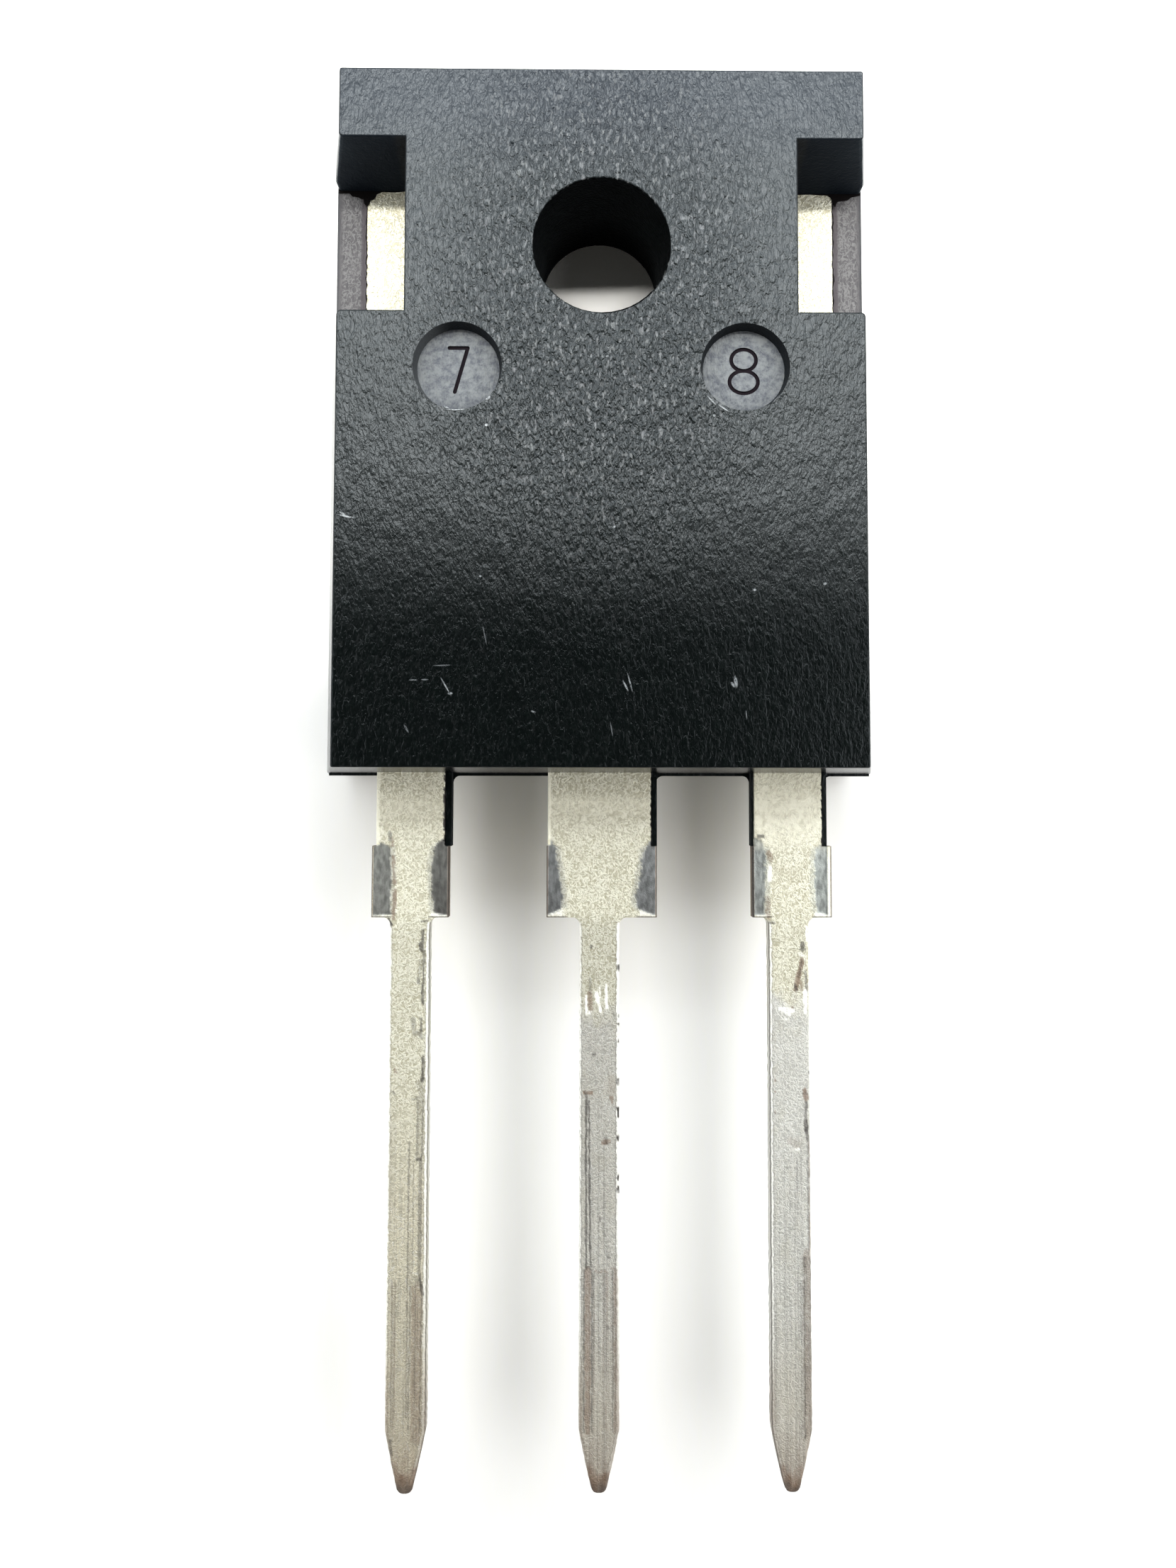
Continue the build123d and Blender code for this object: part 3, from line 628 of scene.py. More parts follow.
# Straight marks on each lead: x and y of both ends, width and strength. x is from its centre.
MARKS = {
    "gate_lead": {
        "dark": (
            (0.37, -19.45, 0.36, -19.98, 0.09, 0.75), (0.32, -19.8, 0.33, -19.98, 0.12, 0.8),
            (0.4, -20.0, 0.4, -20.95, 0.05, 0.8), (0.33, -20.3, 0.26, -20.85, 0.12, 0.28),
            (0.25, -20.8, 0.25, -20.92, 0.06, 0.6), (0.38, -20.95, 0.39, -21.5, 0.07, 0.8),
            (0.12, -21.95, 0.16, -22.35, 0.13, 0.42), (0.33, -21.92, 0.34, -22.3, 0.05, 0.75),
            (0.22, -22.3, 0.38, -22.45, 0.09, 0.48), (0.42, -23.02, 0.4, -23.7, 0.07, 0.85),
            (0.3, -23.75, 0.42, -24.25, 0.18, 0.3), (0.14, -24.2, 0.3, -24.14, 0.05, 0.5),
            (0.28, -24.25, 0.26, -25.8, 0.05, 0.45), (0.35, -24.25, 0.34, -25.8, 0.14, 0.25),
            (0.42, -24.25, 0.4, -25.8, 0.04, 0.6), (0.26, -25.86, 0.38, -25.88, 0.1, 0.8),
            (0.37, -25.9, 0.36, -29.2, 0.09, 0.55), (0.04, -25.4, 0.02, -33.0, 0.03, 0.5),
            (0.17, -25.9, 0.16, -29.2, 0.025, 0.35), (-0.43, -23.98, -0.4, -24.05, 0.06, 0.55),
            (0.38, -29.2, 0.46, -29.62, 0.08, 0.8), (0.24, -29.15, 0.36, -29.3, 0.14, 0.35),
            (0.43, -29.7, 0.4, -33.4, 0.03, 0.5), (0.1, -29.4, 0.08, -33.3, 0.03, 0.5),
            (-0.3, -29.3, -0.32, -33.0, 0.03, 0.35), (-0.4, -29.3, -0.42, -32.6, 0.03, 0.35),
            (-0.42, -33.6, -0.38, -34.0, 0.08, 0.6), (-0.6, -16.66, -0.6, -16.84, 0.12, 0.6),
            (-0.62, -19.12, -0.54, -19.28, 0.07, 0.9), (0.34, -19.18, 0.5, -19.15, 0.05, 0.8),
        ),
        "brown": (
            (-0.39, -23.36, -0.36, -23.44, 0.07, 0.6), (0.2, -29.4, 0.2, -33.6, 0.08, 0.5),
            (0.34, -29.4, 0.32, -33.6, 0.22, 0.45), (-0.53, -16.85, -0.53, -17.0, 0.12, 0.6),
            (-0.5, -17.3, -0.46, -18.1, 0.08, 0.7), (-0.44, -18.3, -0.48, -19.1, 0.1, 0.7),
        ),
    },
    "heat_tab": {
        "dark": (
            (-0.24, -19.88, -0.24, -19.9, 0.07, 0.7), (-0.26, -20.8, -0.26, -21.2, 0.06, 0.35),
            (0.3, -21.55, 0.46, -21.95, 0.03, 0.3), (-0.2, -22.95, -0.13, -22.95, 0.05, 0.7),
            (-0.4, -24.02, -0.37, -24.24, 0.06, 0.6), (-0.38, -24.24, -0.37, -28.9, 0.045, 0.75),
            (-0.3, -24.24, -0.25, -28.9, 0.035, 0.75), (0.19, -25.3, 0.2, -25.44, 0.07, 0.45),
            (0.55, -20.45, 0.55, -20.52, 0.11, 1.0), (0.55, -21.85, 0.55, -21.87, 0.06, 0.9),
            (0.55, -22.07, 0.55, -22.1, 0.06, 0.9), (0.55, -22.56, 0.55, -22.58, 0.06, 0.9),
            (0.55, -23.67, 0.55, -23.74, 0.11, 1.0), (0.55, -24.46, 0.55, -24.68, 0.11, 1.0),
            (0.55, -25.25, 0.55, -25.3, 0.11, 1.0), (0.55, -26.36, 0.55, -26.4, 0.11, 1.0),
            (0.55, -26.7, 0.55, -26.74, 0.11, 1.0), (0.03, -27.5, 0.02, -27.6, 0.06, 0.6),
            (0.16, -27.95, 0.17, -28.0, 0.06, 0.5), (0.24, -28.6, 0.29, -28.6, 0.06, 0.6),
            (0.24, -30.52, 0.25, -30.58, 0.08, 0.65), (0.11, -31.26, 0.12, -31.28, 0.06, 0.45),
            (-0.38, -28.88, -0.2, -28.86, 0.05, 0.55), (-0.43, -28.95, -0.43, -33.4, 0.035, 0.6),
            (-0.2, -28.95, -0.2, -33.4, 0.035, 0.65), (0.38, -28.95, 0.39, -33.4, 0.03, 0.5),
        ),
        "bright": (
            (-0.38, -21.27, -0.37, -21.8, 0.04, 0.9), (-0.09, -21.22, -0.07, -21.42, 0.11, 1.0),
            (-0.05, -21.45, 0.05, -21.74, 0.07, 0.9), (0.19, -20.97, 0.21, -21.63, 0.055, 1.0),
            (0.0, -21.05, 0.02, -21.35, 0.04, 0.6), (-0.3, -21.76, -0.24, -21.74, 0.05, 0.9),
        ),
        "brown": (
            (-0.28, -21.22, -0.25, -21.68, 0.12, 0.6), (-0.42, -24.02, -0.24, -24.02, 0.1, 0.85),
            (0.34, -23.6, 0.35, -24.0, 0.2, 0.18), (0.34, -24.15, 0.37, -24.3, 0.07, 0.7),
            (0.12, -25.4, 0.26, -25.36, 0.15, 0.75), (-0.12, -28.96, -0.04, -29.0, 0.08, 0.45),
            (0.04, -29.02, 0.08, -28.98, 0.07, 0.5), (0.16, -28.98, 0.22, -29.02, 0.07, 0.5),
            (0.3, -28.93, 0.44, -28.9, 0.04, 0.4), (-0.32, -28.95, -0.32, -33.4, 0.17, 0.6),
            (0.47, -28.95, 0.48, -33.4, 0.09, 0.55),
        ),
    },
    "drain_lead": {
        "dark": (
            (0.39, -19.81, 0.39, -19.98, 0.13, 0.75), (0.33, -19.96, 0.46, -19.97, 0.05, 0.7),
            (0.36, -20.3, 0.28, -20.75, 0.05, 0.5), (0.18, -21.02, 0.2, -21.12, 0.09, 0.7),
            (0.47, -20.6, 0.52, -21.15, 0.05, 0.6), (0.57, -23.45, 0.57, -23.5, 0.05, 0.9),
            (0.38, -24.05, 0.5, -24.02, 0.05, 0.4), (0.46, -24.3, 0.42, -24.97, 0.06, 0.7),
            (0.44, -24.8, 0.47, -25.1, 0.09, 0.9), (0.47, -25.1, 0.5, -25.35, 0.08, 0.7),
            (0.51, -25.35, 0.51, -28.5, 0.05, 0.45), (-0.1, -26.12, -0.08, -26.14, 0.07, 0.45),
            (0.02, -27.82, 0.04, -27.84, 0.07, 0.35), (0.38, -28.6, 0.36, -33.6, 0.035, 0.6),
            (0.55, -28.6, 0.54, -33.6, 0.03, 0.5), (0.28, -29.3, 0.27, -33.6, 0.03, 0.4),
            (-0.84, -16.74, -0.74, -16.74, 0.12, 0.75), (-0.86, -16.83, -0.8, -16.86, 0.1, 0.45),
            (-0.58, -19.2, -0.4, -19.2, 0.05, 0.8),
        ),
        "bright": (
            (0.52, -19.35, 0.53, -19.72, 0.08, 0.8), (0.34, -20.1, 0.46, -20.18, 0.08, 0.6),
            (0.46, -21.18, 0.46, -21.45, 0.14, 1.0), (0.47, -21.5, 0.46, -21.78, 0.07, 1.0),
            (-0.24, -21.66, 0.08, -21.7, 0.13, 1.0), (-0.1, -21.78, 0.02, -21.8, 0.1, 0.9),
            (-0.14, -21.5, -0.06, -21.52, 0.06, 0.6), (-0.12, -21.95, -0.1, -21.96, 0.06, 0.7),
            (0.17, -25.6, 0.22, -25.6, 0.08, 1.0), (0.3, -29.22, 0.42, -29.12, 0.05, 0.7),
            (-0.52, -17.62, -0.53, -17.96, 0.12, 1.0),
        ),
        "brown": (
            (0.38, -20.28, 0.19, -21.1, 0.14, 0.8), (0.34, -20.9, 0.36, -21.13, 0.05, 0.5),
            (0.08, -21.6, 0.1, -21.62, 0.05, 0.6), (0.43, -23.95, 0.47, -24.18, 0.14, 0.75),
            (0.56, -25.4, 0.56, -28.5, 0.06, 0.5), (-0.02, -25.35, 0.22, -25.45, 0.22, 0.22),
            (-0.42, -23.65, -0.42, -23.68, 0.05, 0.6), (-0.41, -23.98, -0.41, -24.0, 0.05, 0.6),
            (-0.42, -24.55, -0.42, -24.57, 0.05, 0.6), (0.46, -28.5, 0.46, -33.6, 0.22, 0.4),
            (-0.56, -17.2, -0.5, -17.4, 0.12, 0.6), (-0.6, -18.5, -0.58, -19.1, 0.13, 0.5),
        ),
    },
}

# The smooth coined patches on each side of the dam bar: where a patch starts from the dam bar's
# outer edge, and how far its inner edge is from there at each of these depths below its top.
COINED_DEPTHS = (-0.28, -0.14, -0.06, 0.0, 0.1, 0.3, 0.5, 0.8, 1.1, 1.4, 1.7, 2.0)
COINED = {
    "gate_lead": (
        (0.06, (0.0, 0.0, 0.33, 0.50, 0.57, 0.57, 0.57, 0.59, 0.59, 0.57, 0.57, 0.60)),
        (0.0, (0.0, 0.27, 0.35, 0.40, 0.44, 0.48, 0.50, 0.51, 0.50, 0.48, 0.45, 0.42)),
    ),
    "heat_tab": (
        (0.0, (0.0, 0.16, 0.22, 0.26, 0.29, 0.32, 0.35, 0.38, 0.43, 0.47, 0.47, 0.40)),
        (0.0, (0.0, 0.20, 0.26, 0.31, 0.38, 0.44, 0.47, 0.50, 0.56, 0.63, 0.60, 0.45)),
    ),
    "drain_lead": (
        (0.05, (0.0, 0.30, 0.32, 0.34, 0.37, 0.38, 0.38, 0.38, 0.38, 0.37, 0.36, 0.35)),
        (0.13, (0.0, 0.0, 0.30, 0.40, 0.48, 0.52, 0.53, 0.53, 0.52, 0.50, 0.48, 0.46)),
    ),
}

# How much darker the patches are than the slate colour, left and right.
COINED_SHADES = {"gate_lead": (0.08, 0.46), "heat_tab": (0.12, 0.10), "drain_lead": (0.12, 0.0)}

# How the edges look from the body to the dam bar, left and right: the width of a bright strip,
# a painted highlight on the rolled edge, and of a ragged black one, where moulding flash creeps
# over the plate.
SHOULDER_EDGES = {
    "gate_lead": ((0.10, 0.0), (0.0, 0.05)),
    "heat_tab": ((0.07, 0.0), (0.0, 0.02)),
    "drain_lead": ((0.0, 0.0), (0.0, 0.02)),
}

# The same below the dam bar: the width of the bright rolled edge, whose brightness is a painted
# highlight, and of the dark line outside it, a fracture zone darkened further by painted shade.
PIN_EDGES = {
    "gate_lead": ((0.04, 0.0), (0.09, 0.012)),
    "heat_tab": ((0.04, 0.0), (0.08, 0.0)),
    "drain_lead": ((0.07, 0.012), (0.0, 0.0)),
}

# The pale rim under each coined patch, left and right: its height at the outer corner and
# 0.45 mm further in, and its strength. The rim is real; its paleness is a painted highlight.
CRESCENTS = {
    "gate_lead": ((0.0, 0.03, 0.3), (0.02, 0.09, 0.8)),
    "heat_tab": ((0.03, 0.22, 0.45), (0.02, 0.16, 0.6)),
    "drain_lead": ((0.02, 0.06, 0.4), (0.02, 0.10, 0.6)),
}

# Where a test probe has polished each lead: left, right, top, bottom, darkness.
PROBE_PATCHES = {
    "gate_lead": (-0.46, 0.46, -29.2, -33.9, 0.10),
    "heat_tab": (-0.20, 0.50, -28.95, -33.6, 0.03),
    "drain_lead": (0.30, 0.60, -28.5, -33.6, 0.12),
}

# How much the plate beside the body catches the light, at these depths below the body.
GLINT_DEPTHS = (0.0, 0.5, 0.85, 1.5, 2.3)
GLINTS = {
    "gate_lead": (0.0, 0.05, 0.45, 0.10, 0.0),
    "heat_tab": (0.0, 0.05, 0.50, 0.12, 0.0),
    "drain_lead": (0.35, 0.50, 1.0, 0.85, 0.0),
}


class WearAndLight:
    """Paints one lead's scratches, nicks and copper, and its painted highlights and shade lines, on
    its points, in mm.
    """

    def __init__(self, node, centre, x, y, left, right, front, seed):
        self.node = node
        self.front = front
        self.local = x - centre
        self.y = y
        self.edges = (x - left, right - x)
        bar = (y < DAMBAR_TOP - 0.5) & (y > DAMBAR_FOOT + 0.5)
        above = (y > DAMBAR_TOP + 0.2) & (y < BODY_END)
        self.overhang = (left[above].mean() - left[bar].mean(),
                         right[bar].mean() - right[above].mean())
        self.in_bar = right - left > (right - left)[bar].mean() - 0.25
        self.seed = seed
        self.rng = np.random.default_rng(seed)
        self.layers = {name: np.zeros_like(x) for name in ("dark", "bright", "brown", "coined")}

    def put(self, name, mask):
        np.maximum(self.layers[name], mask, out=self.layers[name])

    def marks(self):
        """The drawn marks lie on the front and its rolled edges, and don't run down the walls."""
        ragged = 0.04 * (patchy(self.local, self.y, self.seed, 0.05, 0.09) - 0.5)
        broken = np.clip(0.55 + 0.9 * patchy(self.local, self.y, self.seed + 1, 0.04, 0.14), 0, 1)
        for kind, marks in MARKS[self.node].items():
            for x, y, end_x, end_y, width, strength in marks:
                swell = 1 + 0.3 * wobble(self.y, int(1e3 * (9 + x)) % 997, 0.25)
                width = width * swell * 0.85
                mark = stroke(self.local + ragged, self.y, (x, y), (end_x, end_y), width)
                self.put(kind, mark * strength * broken * self.front)

    def glint(self):
        """The plate's grain sparkles where it catches the light."""
        grain = patchy(self.local, self.y, self.seed + 40, 0.075, 0.085)
        strength = np.interp(BODY_END - self.y, GLINT_DEPTHS, GLINTS[self.node])
        strength = np.where(self.y > BODY_END, 0, strength)
        self.put("bright", np.clip(strength * (0.35 + 1.1 * grain), 0, 1))

    def drawn_lines(self):
        """Long fine lines below the cropped part, each broken along its length."""
        for _ in range(DRAWN_LINES):
            at = self.rng.uniform(-0.5, 0.5)
            top = self.rng.uniform(-27.5, -23.5)
            line = step_down(np.abs(self.local - at), 0.006, 0.03)
            broken = np.clip(0.5 + 0.5 * wobble(self.y, int(self.rng.integers(1, 9999)), 0.8), 0, 1)
            fade = step_down(self.y, top - 1.5, top)
            self.put("dark", line * fade * broken * self.rng.uniform(0.12, 0.4))

    def probe_patch(self):
        left, right, top, low, depth = PROBE_PATCHES[self.node]
        edge = 0.02 * wobble(self.y, self.seed + 7, 0.3)
        patch = step_down(left + edge - self.local, -0.03, 0.0)
        patch = patch * step_down(self.local - right - edge, -0.03, 0.0)
        patch = patch * step_down(self.y, top - 0.12, top) * step_down(-self.y, -low - 0.3, -low)
        self.put("dark", patch * depth)
        for _ in range(PROBE_SCRATCHES):
            broken = np.clip(0.6 + 0.6 * wobble(self.y, int(self.rng.integers(1, 9999)), 0.7), 0, 1)
            at = self.rng.uniform(left, right)
            line = step_down(np.abs(self.local - at), 0.008, 0.03) * patch
            self.put("dark", line * broken * self.rng.uniform(0.15, 0.45))
            at = self.rng.uniform(left, right)
            line = step_down(np.abs(self.local - at), 0.005, 0.022) * patch
            self.put("brown", line * broken * self.rng.uniform(0.1, 0.45))

    def tip(self):
        """The tip goes brown, and is darkest at its end."""
        ragged = patchy(self.local, self.y, self.seed + 3, 0.08, 0.5)
        uneven = self.y + 0.3 * patchy(self.local, self.y, self.seed + 4, 0.15, 0.2)
        uneven = uneven - 0.8 * np.abs(self.local)
        near_tip = step_down(self.y, LEAD_END + 0.25, LEAD_END + 2.2)
        at_tip = step_down(uneven, LEAD_END + 0.35, LEAD_END + 1.0)
        self.put("brown", near_tip * (0.25 + 0.35 * ragged))
        self.put("brown", at_tip * (0.75 + 0.25 * ragged))
        self.put("dark", step_down(uneven, LEAD_END + 0.1, LEAD_END + 0.5) * 0.7)
        sides = step_down(np.minimum(*self.edges), 0.0, 0.16)
        self.put("brown", sides * step_down(self.y, -33.0, -30.5) * 0.5)

    def dam_bar(self):
        """Coined patches, the thin rolled rim under them with its painted highlight, and the
        sheared edges.
        """
        depth = DAMBAR_TOP - self.y
        bar = step_down(-depth, -0.01, 0.01) * step_down(depth, 2.1, 2.2) * self.in_bar
        for index, distance in enumerate(self.edges):
            starts, reaches = COINED[self.node][index]
            outer = np.where(depth < 0, distance + self.overhang[index], distance)
            fine = patchy(self.local, self.y, self.seed + 5 + index, 0.035, 0.05) - 0.5
            inner = np.interp(depth, COINED_DEPTHS, reaches) + 0.09 * fine
            low_rim, high_rim, rim = CRESCENTS[self.node][index]
            rise = low_rim + (high_rim - low_rim) * np.clip(distance / 0.45, 0, 1) ** 1.5
            above_foot = step_down(depth, 1.99 - rise, 2.02 - rise) * step_down(-depth, 0.26, 0.28)
            begun = step_down(-outer, -starts, 0.02 - starts)
            core = step_down(outer, inner - 0.05, inner + 0.03) * begun * above_foot
            core = core * (inner > 0.1)
            band = step_down(outer, inner + 0.05, inner + 0.17) * begun * above_foot * bar
            self.put("coined", np.maximum(core, 0.4 * band))
            shade = COINED_SHADES[self.node][index]
            self.put("dark", core * (shade + 0.25 * np.clip(depth / 2, 0, 1) ** 2))
            self.put("dark", step_down(distance, 0.022, 0.038) * bar * 0.9)
            self.put("brown", step_down(distance, 0.04, 0.06) * bar * 0.6)
            # painted highlight on the strip between the dam bar's edge and the patch
            if starts > 0:
                strip = step_down(distance, starts - 0.015, starts)
                strip = strip * step_down(-distance, -0.055, -0.04)
                self.put("bright", strip * bar * 0.9)
            # painted highlight on the rolled rim under the patch
            under = step_down(-depth, -(2.0 - rise), -(1.98 - rise)) * step_down(depth, 1.99, 2.01)
            self.put("bright", under * step_down(distance, 0.46, 0.54) * rim * bar)
            foot = step_down(-depth, -2.02, -2.0) * step_down(distance, 0.55, 0.6)
            self.put("dark", foot * bar * 0.8)

    def lengthways_edges(self):
        """Rolled edges brightened by painted highlights, dark lines outside them, partly real and
        partly painted shade, and flash creeping over the shoulders.
        """
        depth = BODY_END - self.y
        shoulder = step_down(depth, 2.05, 2.08)
        pin = step_down(-depth, -4.3, -4.2)
        for index, distance in enumerate(self.edges):
            bright, black = SHOULDER_EDGES[self.node][index]
            ragged = 0.025 * wobble(self.y, self.seed + 20 + index, 0.06)
            if bright > 0:
                strip = step_down(distance, bright + ragged, bright + ragged + 0.02)
                self.put("bright", strip * shoulder)
            if black > 0:
                edge = black + 1.4 * ragged
                self.put("dark", step_down(distance, edge - 0.008, edge + 0.008) * shoulder * 2)
            bright, black = PIN_EDGES[self.node][index]
            if bright > 0:
                nibble = bright + 0.6 * ragged
                strip = step_down(distance, nibble - 0.01, nibble + 0.01) * pin
                tail = step_down(self.y, -32.5, -28.0)
                self.put("bright", strip * (0.85 - 0.5 * tail))
                # painted shade: a thin grey line in the crease between the rolled edge and the
                # front
                line = step_down(np.abs(distance - nibble - 0.015), 0.008, 0.02) * pin
                self.put("dark", line * 0.35)
            if black > 0:
                self.put("dark", step_down(distance, black, black + 0.012) * pin * 0.8)
                self.layers["bright"] *= 1 - step_down(distance, black, black + 0.012) * pin
        np.clip(self.layers["dark"], 0, 1, out=self.layers["dark"])
        self.layers["bright"] *= 1 - np.where(self.layers["dark"] > 0.8, 1, 0)
        if self.node == "drain_lead":
            beside_bar = step_down(np.abs(depth - 3.1), 1.0, 1.04)
            self.put("dark", step_down(self.edges[0], 0.045, 0.055) * beside_bar)

    def paint(self):
        self.marks()
        self.glint()
        self.drawn_lines()
        self.probe_patch()
        self.tip()
        self.dam_bar()
        self.lengthways_edges()
        return self.layers


def blade_mesh(node, centre, seed):
    """Vertices, faces and colours of one lead's blade, marks and painted light, in mm."""
    outline = Outline(node)
    rows = blade_rows(outline, seed)
    rings = [ring_section(left, right) for _, left, right in rows]
    size = len(rings[0])
    points = np.array([(px, row[0], pz) for row, ring in zip(rows, rings) for px, pz in ring])
    left = np.repeat([row[1] for row in rows], size)
    right = np.repeat([row[2] for row in rows], size)
    front = points[:, 2] > LEAD_FRONT - FRONT_ROLL * 1.01
    wear_and_light = WearAndLight(node, centre, points[:, 0], points[:, 1], left, right, front, seed)
    layers = wear_and_light.paint()
    sunk = COIN_DEPTH * layers["coined"] + SCRATCH_DEPTH * layers["dark"]
    points[:, 2] -= np.where(front, sunk, 0)
    colours = np.stack([layers[name] for name in ("dark", "bright", "brown", "coined")], axis=1)
    back = ~front
    colours[back, 0] *= 0.3
    colours[back, 1] = 0
    colours[back, 3] = 0
    wall = back & (points[:, 2] > LEAD_BACK + BACK_ROLL * 1.01)
    in_bar = (points[:, 1] < DAMBAR_TOP) & (points[:, 1] > DAMBAR_FOOT - 0.02)
    colours[wall & in_bar, 0] = 0.55
    colours[wall & in_bar, 2] = 0.9
    # On pins with a dark edge line, the side wall's upper part gets a painted highlight over its
    # burnished shear zone, and its lower part painted shade over its fracture zone.
    for edge, (bright, black) in zip(wear_and_light.edges, PIN_EDGES[node]):
        pin = wall & (edge < 0.01) & (points[:, 1] < DAMBAR_FOOT - 0.1)
        if black > 0:
            low = points[:, 2] < LEAD_BACK + 0.3 * (LEAD_FRONT - LEAD_BACK)
            colours[pin & ~low, 1] = 0.7
            colours[pin & low, 0] = 0.5

    faces = []
    for row in range(len(rows) - 1):
        a, b = row * size, (row + 1) * size
        for i in range(size):
            j = (i + 1) % size
            faces.append((a + i, b + i, b + j, a + j))
    faces.append(tuple(range(size)))
    faces.append(tuple(reversed(range((len(rows) - 1) * size, len(rows) * size))))
    return points, faces, colours


def inner_part(node):
    """The part of a CAD lead that the compound hides, closed where the blade takes over."""
    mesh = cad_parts[node].data.copy()
    work = bmesh.new()
    work.from_mesh(mesh)
    bmesh.ops.remove_doubles(work, verts=work.verts, dist=1e-7)
    everything = work.verts[:] + work.edges[:] + work.faces[:]
    cut = bmesh.ops.bisect_plane(
        work, geom=everything, plane_co=(0, BLADE_START * MM, 0), plane_no=(0, -1, 0),
        clear_outer=True)
    edges = [item for item in cut["geom_cut"] if isinstance(item, bmesh.types.BMEdge)]
    bmesh.ops.holes_fill(work, edges=edges)
    bmesh.ops.triangulate(work, faces=work.faces)
    points = np.array([v.co for v in work.verts]) / MM
    work.verts.index_update()
    faces = [tuple(v.index for v in face.verts) for face in work.faces]
    work.free()
    bpy.data.meshes.remove(mesh)
    return points, faces


def add_object(name, data):
    made = bpy.data.objects.new(name, data)
    bpy.context.scene.collection.objects.link(made)
    return made


def make_object(name, points, faces, material, colours=None):
    """A piece of the transistor from points in mm, its faces turned outwards."""
    mesh = bpy.data.meshes.new(name)
    mesh.from_pydata([tuple(p * MM) for p in np.asarray(points)], [], faces)
    if colours is not None:
        layer = mesh.attributes.new("wear_and_light", "FLOAT_COLOR", "POINT")
        layer.data.foreach_set("color", np.asarray(colours, float).ravel())
    mesh.materials.append(material)
    work = bmesh.new()
    work.from_mesh(mesh)
    bmesh.ops.recalc_face_normals(work, faces=work.faces)
    work.to_mesh(mesh)
    work.free()
    mesh.polygons.foreach_set("use_smooth", [True] * len(mesh.polygons))
    mesh.set_sharp_from_angle(angle=SMOOTH_BELOW)
    piece = add_object(name, mesh)
    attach(piece, "root")
    return piece


def make_lead(node, centre, name, material, seed):
    """One whole lead: its hidden part and its worn blade with painted light, standing for the CAD
    node.
    """
    inner_points, inner_faces = inner_part(node)
    points, faces, colours = blade_mesh(node, centre, seed)
    start = len(inner_points)
    all_points = np.concatenate([inner_points, points])
    all_faces = inner_faces + [tuple(start + i for i in face) for face in faces]
    all_colours = np.concatenate([np.zeros((start, 4)), colours])
    piece = make_object(name, all_points, all_faces, material, all_colours)
    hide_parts(node)
    return piece


# Black flash in each notch, from the end wall round the tab's corner, as (x, y) outlines.
LEFT_FLASH = (
    (-7.93, 2.75), (-7.92, 2.62), (-7.60, 2.62), (-7.52, 2.53), (-7.34, 2.50), (-7.26, 2.46),
    (-7.18, 2.45), (-7.15, 2.30), (-7.08, 2.23), (-7.02, 2.26), (-6.98, 2.40), (-6.86, 2.44),
    (-6.78, 2.60), (-6.62, 2.67), (-6.30, 2.66), (-6.0, 2.68), (-6.0, 2.75),
)
RIGHT_FLASH = (
    (6.0, 2.75), (6.0, 2.67), (6.40, 2.68), (6.93, 2.65), (7.02, 2.58), (7.08, 2.45), (7.16, 2.30),
    (7.20, 2.42), (7.26, 2.47), (7.52, 2.50), (7.66, 2.60), (7.92, 2.66), (7.93, 2.75),
)


def flat_piece(name, outline, high, material):
    """A thin closed plate of flash with the given outline."""
    count = len(outline)
    points = [(x, y, z) for z in (FLASH_LOW, high) for x, y in outline]
    faces = [tuple(range(count)), tuple(range(2 * count - 1, count - 1, -1))]
    faces += [(i, (i + 1) % count, count + (i + 1) % count, count + i) for i in range(count)]
    piece = make_object(name, points, faces, material)
    return piece


def tab_edge_flash(name, x, high, low, seed, material):
    """A ragged thread of flash lying along the tab's edge in a notch."""
    steps = np.linspace(high, low, 60)
    middle = x + 0.025 * wobble(steps, seed, 0.12)
    width = 0.012 + 0.016 * (1 + wobble(steps, seed + 1, 0.09))
    outline = list(zip(middle - width / 2, steps)) + list(zip(middle + width / 2, steps))[::-1]
    return flat_piece(name, outline, EDGE_FLASH_HIGH, material)


FLASH_LOW = TAB_TOP - 0.02       # the flash lies on the tab
NOTCH_FLASH_HIGH = TAB_TOP + 0.03
EDGE_FLASH_HIGH = TAB_TOP + 0.015


def make_flash():
    g = Graph("black_flash")
    flash = g.surface(rgb(0.004, 0.003, 0.003), 0.9, level=0.1)
    flat_piece("notch_flash_left", LEFT_FLASH, NOTCH_FLASH_HIGH, flash)
    flat_piece("notch_flash_right", RIGHT_FLASH, NOTCH_FLASH_HIGH, flash)
    tab_edge_flash("tab_flash_left", -TAB_SIDE - 0.01, 2.3, -1.45, 51, flash)
    tab_edge_flash("tab_flash_right", TAB_SIDE + 0.02, 2.4, -1.45, 57, flash)


# ---------------------------------------------------------------------------
# Camera, floor and light
# ---------------------------------------------------------------------------
CAMERA_PLACE = (-0.70, -15.20, 47.20)
CAMERA_TURN = (0.0705, -0.0133, 0.0025)      # in radians, about x, y and z


def make_camera():
    data = bpy.data.cameras.new("camera")
    data.sensor_width = 36
    data.lens = 35.0
    data.shift_x = -0.0052
    data.shift_y = -0.0694
    data.clip_start = 0.001
    data.clip_end = 10
    camera = add_object("camera", data)
    camera.location = tuple(c * MM for c in CAMERA_PLACE)
    camera.rotation_mode = "ZYX"
    camera.rotation_euler = Euler(CAMERA_TURN, "ZYX")
    bpy.context.scene.camera = camera


